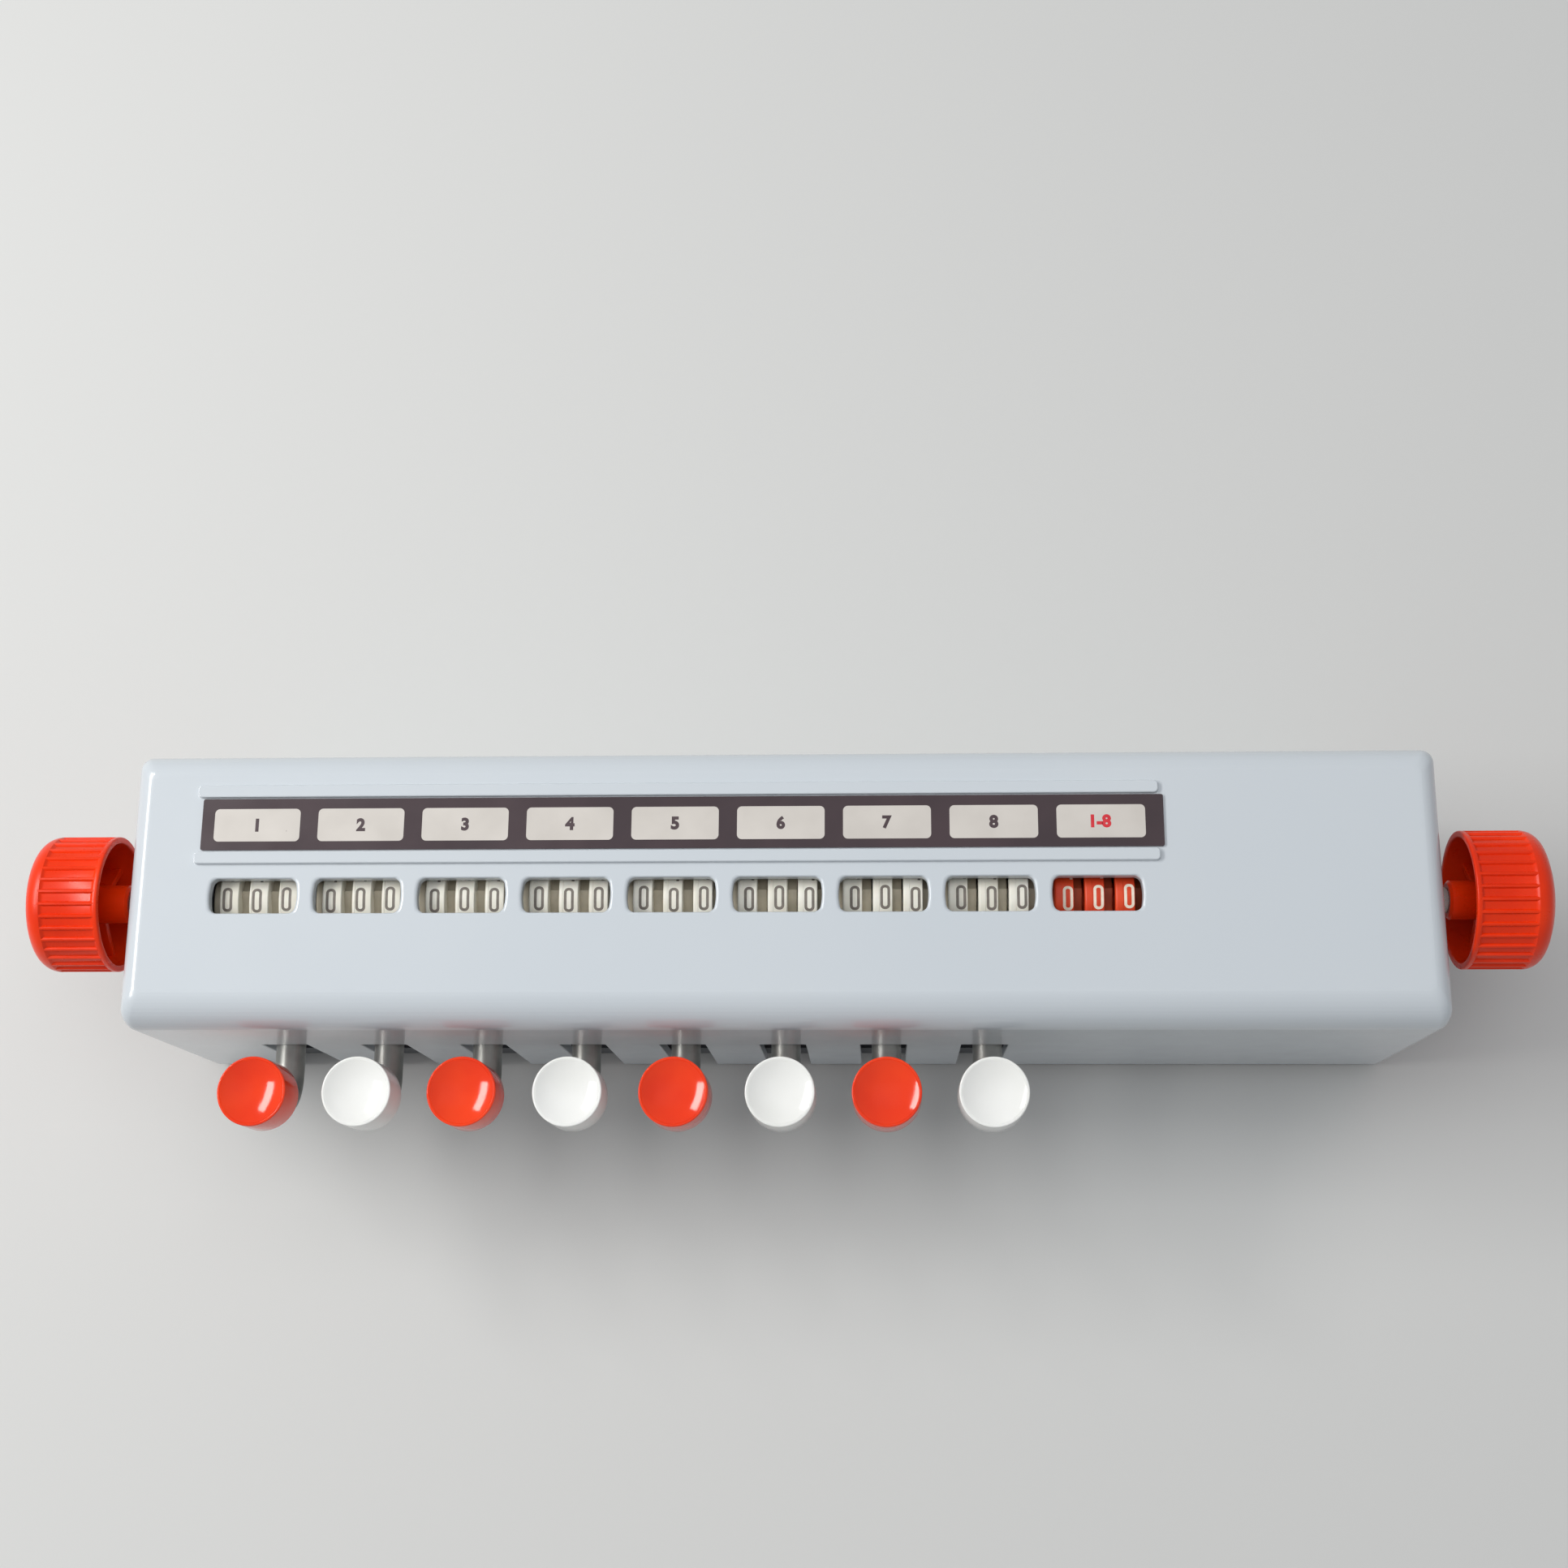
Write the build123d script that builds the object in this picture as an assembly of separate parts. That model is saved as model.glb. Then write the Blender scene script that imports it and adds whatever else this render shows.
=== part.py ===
from build123d import *
import math
import os

# Differential cell counter: a bench instrument with eight key-driven counters
# and a total counter, all cleared by one reset shaft with a knob at each end.
# X runs along the case, the keys point to -Y and +Z is up. The origin is the
# middle of the overall box, on the surface that the feet stand on.

os.makedirs("parts", exist_ok=True)

# Case
case_length = 300.0
case_depth = 64.0
case_height = 70.0
case_wall = 2.5
front_fold_radius = 8.5
back_fold_radius = 4.0
end_fold_radius = 3.6
corner_radius = 1.2
inner_corner_radius = 0.8
foot_height = 4.0

# Counters and keys
key_count = 8
first_counter_inset = 30.0
bell_bay_length = 78.0
key_shift = 0.7
key_reach = 14.0
key_travel_deg = 8.0
cap_diameter = 16.0
cap_height = 11.0
cap_top_drop = 6.5
cap_dish_depth = 1.7
cap_rim_width = 0.7
cap_edge_radius = 0.6
cap_socket_depth = 5.0
cap_socket_gap = 0.03
stem_diameter = 7.0
post_diameter = 6.0
post_shoulder_gap = 0.3
stem_bend_radius = 7.0

# Key slots in the front wall
slot_width = 11.0
slot_top_drop = 32.6
slot_corner_radius = 0.8
stem_slot_gap = 0.35

# Windows
window_bridge = 3.7
window_height = 8.0
window_bow = 0.6
window_shift_y = -2.2
window_corner_radius = 1.2
window_edge_chamfer = 0.35

# Label rails and strip
rail_overhang = 14.5
rail_width = 2.9
rail_height = 1.0
rail_end_radius = 1.0
rail_top_radius = 0.4
rail_gap = 12.8
label_shift_x = 0.1
label_shift_y = 14.5
strip_end_gap = 0.15
strip_side_gap = 0.35
strip_thickness = 0.5
strip_shift_x = 1.2
strip_corner_radius = 0.5

# Number wheels
wheel_places = {"hundreds": -1, "tens": 0, "units": 1}
wheel_diameter = 23.0
wheel_gap = 0.3
wheel_end_gap = 0.15
wheel_edge_radius = 0.25
ratchet_diameter = 18.5
ratchet_width = 2.1
ratchet_teeth = 10
ratchet_depth = 1.1
ratchet_step_deg = 3.0
side_hub_diameter = 10.0
side_hub_gap = 0.25

# Reset shaft, bushes and knobs
shaft_diameter = 6.0
shaft_drop = 15.4
shaft_shift_y = -1.0
shaft_end_chamfer = 0.5
running_gap = 0.05
bush_diameter = 9.0
bush_flange_diameter = 13.0
bush_flange_width = 1.2
bush_proud = 0.3
seat_gap = 0.02
knob_diameter = 31.9
knob_rim_gap = 6.3
knob_length = 20.4
knob_dome = 6.7
knob_shoulder = 4.2
knob_rim = 1.2
knob_wall = 1.5
knob_floor = 1.5
knob_ridges = 34
knob_ridge_height = 0.5
knob_ridge_crest = 0.55
knob_ridge_foot = 1.15
knob_edge_radius = 0.35
knob_hub_diameter = 9.0
knob_hub_gap = 3.5
knob_hub_edge = 0.6
knob_webs = 4
knob_web_thickness = 1.5
knob_web_setback = 4.5
shaft_in_hub = 14.5
shaft_end_gap = 0.3

# Base tray, feet and screws
base_thickness = 2.0
base_gap = 0.3
base_flange_height = 8.0
boss_diameter = 9.0
boss_height = 15.0
boss_inset = 7.5
boss_rib_width = 4.0
foot_diameter = 12.0
foot_edge_radius = 0.6
foot_recess_diameter = 6.6
foot_recess_depth = 2.9
screw_diameter = 3.0
screw_gap = 0.15
screw_length = 12.0
screw_end_gap = 1.0
screw_head_diameter = 5.6
screw_head_height = 1.9
screw_socket_width = 2.5
screw_socket_depth = 1.1

# Bearing plates
plate_thickness = 1.2
plate_front_inset = 6.0
plate_back_inset = 7.0
plate_above_shaft = 8.5
plate_corner_radius = 3.0

# Key levers
axle_diameter = 5.0
axle_shift_y = 6.0
axle_drop = 46.0
axle_end_left = 9.0
axle_end_right = 1.5
axle_seat_gap = 0.03
hub_diameter = 9.0
hub_side_gap = 0.4
arm_thickness = 3.0
arm_width = 6.6
stem_back_inset = 14.0
stem_in_arm = 5.0
tail_length = 13.0
tail_height = 4.0
pawl_thickness = 1.5
pawl_width = 4.0
pawl_tip_width = 1.2
pawl_gap = 0.3
pawl_contact_deg = 35.0

# Return springs
spring_diameter = 4.6
spring_wire = 0.8
spring_tail_gap = 0.3
spring_reach = 11.0

# Total bail
bar_diameter = 3.0
bar_reach = 11.0
bar_gap = 0.3
bar_slot_gap = 1.0
bail_arm_thickness = 2.0
bail_hub_width = 5.0

# Detent comb
comb_thickness = 1.2
comb_height = 6.0
comb_setback = 6.95
comb_slot_gap = 0.1
finger_width = 1.3
finger_thickness = 0.7
finger_gap = 0.3

# Bell
bell_plate_inset = 26.0
bell_plate_thickness = 1.5
bell_foot_length = 9.0
bell_plate_margin = 4.0
gong_radius = 17.0
gong_wall = 1.2
gong_length = 11.0
gong_crown_radius = 6.0
gong_mouth_gap = 2.0
gong_drop = 0.8
gong_shift_y = -2.0
gong_stud_diameter = 4.0
gong_shoulder_diameter = 6.0
gong_rivet_diameter = 7.0
gong_rivet_height = 1.5
hammer_stud_diameter = 3.0
hammer_stud_length = 26.0
hammer_pivot_rise = 15.0
hammer_pivot_shift = 1.8
hammer_hub_diameter = 7.0
hammer_hub_length = 18.0
hammer_hub_gap = 6.0
hammer_head_diameter = 6.0
hammer_gap = 0.6
hammer_arm_thickness = 2.0
hammer_arm_width = 3.0
trip_arm_length = 12.0

# Places worked out from the sizes above
back_y = (case_depth + key_reach + cap_diameter / 2) / 2
front_y = back_y - case_depth
case_y = (front_y + back_y) / 2
face_z = foot_height + case_height
inner_front_y = front_y + case_wall
inner_back_y = back_y - case_wall
inner_end_x = case_length / 2 - case_wall
base_top_z = foot_height + base_thickness
counter_pitch = (case_length - first_counter_inset - bell_bay_length) / key_count
first_counter_x = first_counter_inset - case_length / 2
counter_xs = [first_counter_x + i * counter_pitch for i in range(key_count + 1)]
key_xs = [x + key_shift for x in counter_xs[:key_count]]
plate_xs = [first_counter_x + (i - 0.5) * counter_pitch for i in range(key_count + 2)]
bay_half = (counter_pitch - plate_thickness) / 2
wheel_pitch = (2 * (bay_half - wheel_end_gap) - ratchet_width + wheel_gap) / 3
wheel_width = wheel_pitch - ratchet_width - wheel_gap
side_hub_width = bay_half - wheel_pitch - wheel_width / 2 - side_hub_gap
window_width = counter_pitch - window_bridge
rail_length = key_count * counter_pitch + 2 * rail_overhang
strip_length = rail_length - 2 * strip_end_gap
label_centre_x = (counter_xs[0] + counter_xs[-1]) / 2 + label_shift_x
shaft_y = case_y + shaft_shift_y
shaft_z = face_z - shaft_drop
cap_y = front_y - key_reach
cap_top_z = face_z - cap_top_drop
cap_bottom_z = cap_top_z - cap_height
slot_top_z = face_z - slot_top_drop
stem_z = slot_top_z - stem_slot_gap - stem_diameter / 2
axle_y = case_y + axle_shift_y
axle_z = face_z - axle_drop
ratchet_shift = (wheel_width + ratchet_width) / 2
units_ratchet_shift = wheel_pitch + ratchet_shift
screw_x = inner_end_x - boss_inset
screw_ys = [inner_front_y + boss_inset, inner_back_y - boss_inset]
bell_plate_x = case_length / 2 - bell_plate_inset
room_under_shaft = shaft_z - shaft_diameter / 2 - base_top_z


def rod(radius, start, end):
    axis = Vector(*end) - Vector(*start)
    place = Plane(origin=start, z_dir=axis)
    return place * Cylinder(radius, axis.length, align=(Align.CENTER, Align.CENTER, Align.MIN))


def rod_along_x(radius, x_low, x_high, y, z):
    return rod(radius, (x_low, y, z), (x_high, y, z))


def block(x_low, x_high, y_low, y_high, z_low, z_high):
    size = (x_high - x_low, y_high - y_low, z_high - z_low)
    middle = ((x_low + x_high) / 2, (y_low + y_high) / 2, (z_low + z_high) / 2)
    return Pos(*middle) * Box(*size)


# A flat plate whose outline is given in Y and Z, with its thickness along X
def side_plate(x_low, x_high, points):
    outline = make_face(Polyline([(x_low, y, z) for y, z in points], close=True))
    return extrude(outline, amount=x_high - x_low, dir=(1, 0, 0))


# A bar in Y and Z that tapers from one width to another
def side_bar(x_low, x_high, start, end, start_width, end_width):
    run = math.dist(start, end)
    across = ((start[1] - end[1]) / run, (end[0] - start[0]) / run)
    corners = []
    for point, half in (
        (start, start_width / 2),
        (end, end_width / 2),
        (end, -end_width / 2),
        (start, -start_width / 2),
    ):
        corners.append((point[0] + across[0] * half, point[1] + across[1] * half))
    return side_plate(x_low, x_high, corners)


# Where a point in Y and Z goes when it turns about the key axle
def turned(point, angle_deg):
    angle = math.radians(angle_deg)
    y = point[0] - axle_y
    z = point[1] - axle_z
    return (
        axle_y + y * math.cos(angle) - z * math.sin(angle),
        axle_z + y * math.sin(angle) + z * math.cos(angle),
    )


def top_rounded_outline(width, height, left_radius, right_radius):
    outline = Rectangle(width, height, align=(Align.CENTER, Align.MIN))
    left = outline.vertices().group_by(Axis.Y)[-1].sort_by(Axis.X)[0]
    outline = fillet(left, left_radius)
    right = outline.vertices().group_by(Axis.Y)[-1].sort_by(Axis.X)[-1]
    return fillet(right, right_radius)


# Three extruded outlines in common, so that the rounded folds meet in mitres
def case_form(inset, low_z, front_radius, back_radius, end_radius, plan_radius):
    length = case_length - 2 * inset
    depth = case_depth - 2 * inset
    height = face_z - inset - low_z
    side = Plane(origin=(-length / 2, case_y, low_z), x_dir=(0, 1, 0), z_dir=(1, 0, 0))
    end = Plane(origin=(0, case_y + depth / 2, low_z), x_dir=(1, 0, 0), z_dir=(0, -1, 0))
    along_x = extrude(side * top_rounded_outline(depth, height, front_radius, back_radius), length)
    along_y = extrude(end * top_rounded_outline(length, height, end_radius, end_radius), depth)
    plan = Pos(0, case_y, low_z) * RectangleRounded(length, depth, plan_radius)
    return along_x & along_y & extrude(plan, height)


def window_outline():
    half_x = window_width / 2 - window_bow
    half_y = window_height / 2
    edges = [
        Line((-half_x, half_y), (half_x, half_y)),
        ThreePointArc((half_x, half_y), (window_width / 2, 0), (half_x, -half_y)),
        Line((half_x, -half_y), (-half_x, -half_y)),
        ThreePointArc((-half_x, -half_y), (-window_width / 2, 0), (-half_x, half_y)),
    ]
    outline = make_face(edges)
    return fillet(outline.vertices(), window_corner_radius)


def window_cutter(x):
    outline = window_outline()
    low_z = face_z - 2 * case_wall
    place = Pos(x, case_y + window_shift_y, 0)
    hole = extrude(Pos(0, 0, low_z) * outline, face_z - low_z + rail_height)
    flare_z = face_z - window_edge_chamfer
    flare = extrude(Pos(0, 0, flare_z) * outline, 2 * window_edge_chamfer, taper=-45)
    return place * (hole + flare)


def slot_cutter(x):
    reach = 2 * case_wall
    place = Plane(origin=(x, front_y + reach, foot_height - reach), x_dir=(1, 0, 0), z_dir=(0, -1, 0))
    height = slot_top_z - foot_height + reach
    outline = top_rounded_outline(slot_width, height, slot_corner_radius, slot_corner_radius)
    return extrude(place * outline, 2 * reach)


def label_rail(side):
    y = case_y + label_shift_y + side * (rail_gap + rail_width) / 2
    low_z = face_z - case_wall / 2
    outline = Pos(label_centre_x, y, low_z) * RectangleRounded(rail_length, rail_width, rail_end_radius)
    rail = extrude(outline, rail_height + case_wall / 2)
    return fillet(rail.faces().sort_by(Axis.Z)[-1].edges(), rail_top_radius)


def screw_boss(x, y):
    high_z = base_top_z + boss_height
    side = math.copysign(1, x)
    boss = rod(boss_diameter / 2, (x, y, base_top_z), (x, y, high_z))
    x_low, x_high = sorted((x, side * (inner_end_x + case_wall / 2)))
    half = boss_rib_width / 2
    return boss + block(x_low, x_high, y - half, y + half, base_top_z, high_z)


def top_cover():
    shell = case_form(
        0, foot_height, front_fold_radius, back_fold_radius, end_fold_radius, corner_radius
    )
    shell -= case_form(
        case_wall,
        foot_height - case_wall,
        front_fold_radius - case_wall,
        back_fold_radius - case_wall,
        end_fold_radius - case_wall,
        inner_corner_radius,
    )
    shell += [label_rail(side) for side in (-1, 1)]
    shell -= [window_cutter(x) for x in counter_xs]
    shell -= [slot_cutter(x) for x in counter_xs[:key_count]]
    hole_top = foot_recess_depth + screw_length + screw_end_gap
    for x in (-screw_x, screw_x):
        for y in screw_ys:
            shell += screw_boss(x, y)
            shell -= rod(screw_diameter / 2 + seat_gap, (x, y, foot_height), (x, y, hole_top))
    reach = case_length / 2 + case_wall
    shell -= rod_along_x(bush_diameter / 2 + seat_gap, -reach, reach, shaft_y, shaft_z)
    return shell


def base_tray():
    length = 2 * (inner_end_x - base_gap)
    y_low = inner_front_y + base_gap
    y_high = inner_back_y - base_gap
    outline = Pos(0, case_y, foot_height) * RectangleRounded(length, y_high - y_low, inner_corner_radius)
    tray = extrude(outline, base_thickness)
    half = length / 2 - inner_corner_radius
    flange_z = base_top_z + base_flange_height
    tray += block(-half, half, y_low, y_low + base_thickness, foot_height, flange_z)
    tray += block(-half, half, y_high - base_thickness, y_high, foot_height, flange_z)
    for x in (-screw_x, screw_x):
        for y in screw_ys:
            tray -= rod(screw_diameter / 2 + screw_gap, (x, y, 0), (x, y, base_top_z + 1))
    return tray


def rubber_foot(x, y):
    foot = rod(foot_diameter / 2, (x, y, 0), (x, y, foot_height))
    rim = foot.edges().filter_by(GeomType.CIRCLE).sort_by(Axis.Z)[0]
    foot = fillet(rim, foot_edge_radius)
    foot -= rod(foot_recess_diameter / 2, (x, y, 0), (x, y, foot_recess_depth))
    return foot - rod(screw_diameter / 2 + screw_gap, (x, y, 0), (x, y, foot_height))


def case_screw(x, y):
    head_z = foot_recess_depth - screw_head_height
    screw = rod(screw_head_diameter / 2, (x, y, head_z), (x, y, foot_recess_depth))
    screw += rod(screw_diameter / 2, (x, y, foot_recess_depth), (x, y, foot_recess_depth + screw_length))
    socket = RegularPolygon(screw_socket_width / 2, 6, major_radius=False)
    return screw - extrude(Pos(x, y, head_z) * socket, screw_socket_depth)


def label_strip():
    width = rail_gap - 2 * strip_side_gap
    outline = RectangleRounded(strip_length, width, strip_corner_radius)
    place = Pos(label_centre_x + strip_shift_x, case_y + label_shift_y, face_z)
    return extrude(place * outline, strip_thickness)


def ratchet_outline():
    step = 360 / ratchet_teeth
    points = []
    for i in range(ratchet_teeth):
        for angle, radius in (
            (i * step, ratchet_diameter / 2),
            ((i + 1) * step - ratchet_step_deg, ratchet_diameter / 2 - ratchet_depth),
        ):
            turn = math.radians(angle)
            points.append((radius * math.cos(turn), radius * math.sin(turn)))
    return make_face(Polyline(points, close=True))


def number_wheel(counter_x, name):
    x = counter_x + wheel_places[name] * wheel_pitch
    low_x = x - wheel_width / 2
    high_x = x + wheel_width / 2
    drum = rod_along_x(wheel_diameter / 2, low_x, high_x, shaft_y, shaft_z)
    drum = fillet(drum.edges().filter_by(GeomType.CIRCLE), wheel_edge_radius)
    place = Plane(origin=(high_x, shaft_y, shaft_z), x_dir=(0, 1, 0), z_dir=(1, 0, 0))
    wheel = drum + extrude(place * ratchet_outline(), ratchet_width)
    if name == "hundreds":
        wheel += rod_along_x(side_hub_diameter / 2, low_x - side_hub_width, low_x, shaft_y, shaft_z)
    bore = shaft_diameter / 2 + running_gap
    return wheel - rod_along_x(bore, x - wheel_pitch, x + wheel_pitch, shaft_y, shaft_z)


def reset_shaft():
    end_x = case_length / 2 + knob_hub_gap + shaft_in_hub
    shaft = rod_along_x(shaft_diameter / 2, -end_x, end_x, shaft_y, shaft_z)
    return chamfer(shaft.edges().filter_by(GeomType.CIRCLE), shaft_end_chamfer)


def shaft_bush(side):
    outer_x = side * (case_length / 2 + bush_proud)
    seat_x = side * inner_end_x
    flange_x = side * (inner_end_x - bush_flange_width)
    bush = rod_along_x(bush_diameter / 2, flange_x, outer_x, shaft_y, shaft_z)
    bush += rod_along_x(bush_flange_diameter / 2, flange_x, seat_x, shaft_y, shaft_z)
    bore = shaft_diameter / 2 + running_gap
    return bush - rod_along_x(bore, flange_x, outer_x, shaft_y, shaft_z)


def ridge_outline():
    crest = knob_diameter / 2
    valley = crest - knob_ridge_height
    points = []
    for i in range(knob_ridges):
        middle = 2 * math.pi * i / knob_ridges
        for offset, radius in (
            (-knob_ridge_foot / 2, valley),
            (-knob_ridge_crest / 2, crest),
            (knob_ridge_crest / 2, crest),
            (knob_ridge_foot / 2, valley),
        ):
            turn = middle + offset / radius
            points.append((radius * math.cos(turn), radius * math.sin(turn)))
    return make_face(Polyline(points, close=True))


# A dome with a rounded shoulder: the shoulder's arc runs into the crown's arc
def knob_dome_form():
    shoulder_y = knob_diameter / 2 - knob_shoulder
    crown = (knob_dome**2 + shoulder_y**2 - knob_shoulder**2) / (2 * (knob_dome - knob_shoulder))
    meet = math.degrees(math.atan2(shoulder_y, crown - knob_dome))
    outline = [
        CenterArc((knob_dome - crown, 0), crown, 0, meet),
        CenterArc((0, shoulder_y), knob_shoulder, meet, 90 - meet),
        Line((0, knob_diameter / 2), (0, 0)),
        Line((0, 0), (knob_dome, 0)),
    ]
    return revolve(make_face(outline), Axis.X)


# The right-hand knob: the left-hand one is its mirror image
def reset_knob():
    radius = knob_diameter / 2
    rim_x = case_length / 2 + knob_rim_gap
    dome_x = rim_x + knob_length - knob_dome
    floor_x = dome_x - knob_floor
    hub_x = case_length / 2 + knob_hub_gap
    place = Plane(origin=(rim_x, shaft_y, shaft_z), x_dir=(0, 1, 0), z_dir=(1, 0, 0))
    knob = extrude(place * ridge_outline(), dome_x - rim_x)
    knob += rod_along_x(radius, rim_x, rim_x + knob_rim, shaft_y, shaft_z)
    knob += Pos(dome_x, shaft_y, shaft_z) * knob_dome_form()
    knob -= rod_along_x(radius - knob_wall, rim_x - 1, floor_x, shaft_y, shaft_z)
    knob = fillet(knob.edges().filter_by(GeomType.CIRCLE).group_by(Axis.X)[0], knob_edge_radius)
    hub = rod_along_x(knob_hub_diameter / 2, hub_x, dome_x, shaft_y, shaft_z)
    hub = chamfer(hub.edges().filter_by(GeomType.CIRCLE).sort_by(Axis.X)[0], knob_hub_edge)
    knob += hub
    web_x = rim_x + knob_web_setback
    half = knob_web_thickness / 2
    for i in range(knob_webs):
        web = block(web_x, dome_x, -half, half, 0, radius - knob_wall / 2)
        knob += Pos(0, shaft_y, shaft_z) * Rot(360 * (i + 0.5) / knob_webs, 0, 0) * web
    bore_end = hub_x + shaft_in_hub + shaft_end_gap
    return knob - rod_along_x(shaft_diameter / 2 + seat_gap, hub_x, bore_end, shaft_y, shaft_z)


# Where the bail's bar lies: the lever tails rise to just below it
def bar_centre():
    rise = bar_reach * math.sin(math.radians(key_travel_deg))
    z = axle_z + tail_height / 2 + rise + bar_gap + bar_diameter / 2
    return (axle_y + bar_reach, z)


def comb_front_y():
    return inner_back_y - plate_back_inset - comb_setback


def bearing_plate(middle_x):
    low_x = middle_x - plate_thickness / 2
    high_x = middle_x + plate_thickness / 2
    y_low = inner_front_y + plate_front_inset
    y_high = inner_back_y - plate_back_inset
    place = Plane(origin=(low_x, (y_low + y_high) / 2, base_top_z), x_dir=(0, 1, 0), z_dir=(1, 0, 0))
    height = shaft_z + plate_above_shaft - base_top_z
    outline = top_rounded_outline(y_high - y_low, height, plate_corner_radius, plate_corner_radius)
    plate = extrude(place * outline, plate_thickness)
    plate -= rod_along_x(shaft_diameter / 2 + running_gap, low_x - 1, high_x + 1, shaft_y, shaft_z)
    plate -= rod_along_x(axle_diameter / 2 + axle_seat_gap, low_x - 1, high_x + 1, axle_y, axle_z)
    bar_y, bar_z = bar_centre()
    moved_y, moved_z = turned((bar_y, bar_z), key_travel_deg)
    room = bar_diameter / 2 + bar_slot_gap
    plate -= block(low_x - 1, high_x + 1, moved_y - room, bar_y + room, bar_z - room, moved_z + room)
    comb_y = comb_front_y()
    half = comb_height / 2 + comb_slot_gap
    return plate - block(
        low_x - 1,
        high_x + 1,
        comb_y - comb_slot_gap,
        comb_y + comb_thickness + comb_slot_gap,
        shaft_z - half,
        shaft_z + half,
    )


def detent_comb():
    comb_y = comb_front_y()
    half = comb_height / 2
    low_x = plate_xs[0] - plate_thickness
    high_x = plate_xs[-1] + plate_thickness
    comb = block(low_x, high_x, comb_y, comb_y + comb_thickness, shaft_z - half, shaft_z + half)
    tip_y = shaft_y + ratchet_diameter / 2 + finger_gap
    for counter_x in counter_xs:
        for place in wheel_places.values():
            x = counter_x + place * wheel_pitch + ratchet_shift
            comb += block(
                x - finger_width / 2,
                x + finger_width / 2,
                tip_y,
                comb_y,
                shaft_z - finger_thickness / 2,
                shaft_z + finger_thickness / 2,
            )
    return comb


def key_axle():
    low_x = plate_xs[0] - axle_end_left
    high_x = plate_xs[-1] + plate_thickness / 2 + axle_end_right
    return rod_along_x(axle_diameter / 2, low_x, high_x, axle_y, axle_z)


# The finger on a lever's hub that meets the ratchet of the units wheel
def drive_pawl(counter_x):
    contact = math.radians(pawl_contact_deg)
    reach = ratchet_diameter / 2 + pawl_gap + pawl_tip_width / 2
    pressed = (shaft_y + reach * math.sin(contact), shaft_z - reach * math.cos(contact))
    tip = turned(pressed, -key_travel_deg)
    x = counter_x + units_ratchet_shift
    half = pawl_thickness / 2
    return side_bar(x - half, x + half, (axle_y, axle_z), tip, pawl_width, pawl_tip_width)


def lever_hub(counter_x):
    half = bay_half - hub_side_gap
    return rod_along_x(hub_diameter / 2, counter_x - half, counter_x + half, axle_y, axle_z)


def axle_bore(low_x, high_x):
    return rod_along_x(axle_diameter / 2 + running_gap, low_x, high_x, axle_y, axle_z)


def key_lever(counter_x):
    x = counter_x + key_shift
    half = arm_thickness / 2
    stem_back_y = inner_front_y + stem_back_inset
    lever = lever_hub(counter_x) + drive_pawl(counter_x)
    arm_end = (stem_back_y - stem_in_arm, stem_z)
    lever += side_bar(x - half, x + half, (axle_y, axle_z), arm_end, arm_width, arm_width)
    lever += block(
        x - half,
        x + half,
        axle_y,
        axle_y + tail_length,
        axle_z - tail_height / 2,
        axle_z + tail_height / 2,
    )
    shoulder_z = cap_bottom_z - post_shoulder_gap
    corners = [(x, stem_back_y, stem_z), (x, cap_y, stem_z), (x, cap_y, shoulder_z)]
    path = FilletPolyline(*corners, radius=stem_bend_radius)
    section = Plane(origin=corners[0], z_dir=(0, -1, 0)) * Circle(stem_diameter / 2)
    lever += sweep(section, path=path)
    lever += rod(post_diameter / 2, (x, cap_y, shoulder_z), (x, cap_y, cap_bottom_z + cap_socket_depth))
    return lever - axle_bore(counter_x - bay_half, counter_x + bay_half)


def key_cap(x):
    radius = cap_diameter / 2
    cap = rod(radius, (x, cap_y, cap_bottom_z), (x, cap_y, cap_top_z))
    cap = fillet(cap.edges().filter_by(GeomType.CIRCLE).sort_by(Axis.Z)[0], cap_edge_radius)
    dish_radius = radius - cap_rim_width
    ball_radius = (dish_radius**2 + cap_dish_depth**2) / (2 * cap_dish_depth)
    cap -= Pos(x, cap_y, cap_top_z - cap_dish_depth + ball_radius) * Sphere(ball_radius)
    rim = cap.edges().filter_by(GeomType.CIRCLE).group_by(Axis.Z)[-1]
    cap = fillet(rim, cap_rim_width / 2.5)
    socket_top = cap_bottom_z + cap_socket_depth
    return cap - rod(post_diameter / 2 + cap_socket_gap, (x, cap_y, cap_bottom_z), (x, cap_y, socket_top))


def return_spring(x):
    y = axle_y + spring_reach
    high_z = axle_z - tail_height / 2 - spring_tail_gap
    coil = rod(spring_diameter / 2, (x, y, base_top_z), (x, y, high_z))
    return coil - rod(spring_diameter / 2 - spring_wire, (x, y, base_top_z), (x, y, high_z))


def total_bail():
    total_x = counter_xs[-1]
    bar_y, bar_z = bar_centre()
    left_x = plate_xs[0] - plate_thickness / 2 - hub_side_gap
    half = bail_arm_thickness / 2
    bail = lever_hub(total_x) + drive_pawl(total_x)
    bail += rod_along_x(hub_diameter / 2, left_x - bail_hub_width, left_x, axle_y, axle_z)
    bail += rod_along_x(bar_diameter / 2, left_x - bail_hub_width, total_x + half, bar_y, bar_z)
    for x_low, x_high in (
        (left_x - bail_hub_width, left_x - bail_hub_width + bail_arm_thickness),
        (total_x - half, total_x + half),
    ):
        bail += side_bar(x_low, x_high, (axle_y, axle_z), (bar_y, bar_z), arm_width, bar_diameter)
    bail -= axle_bore(total_x - bay_half, total_x + bay_half)
    return bail - axle_bore(left_x - bail_hub_width - 1, left_x + 1)


gong_y = case_y + gong_shift_y
gong_z = base_top_z + room_under_shaft / 2 - gong_drop
gong_mouth_x = bell_plate_x - gong_mouth_gap
gong_crown_x = gong_mouth_x - gong_length
hammer_y = gong_y + gong_radius + hammer_gap + hammer_head_diameter / 2
pivot_y = hammer_y + hammer_pivot_shift
pivot_z = gong_z + hammer_pivot_rise


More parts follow.
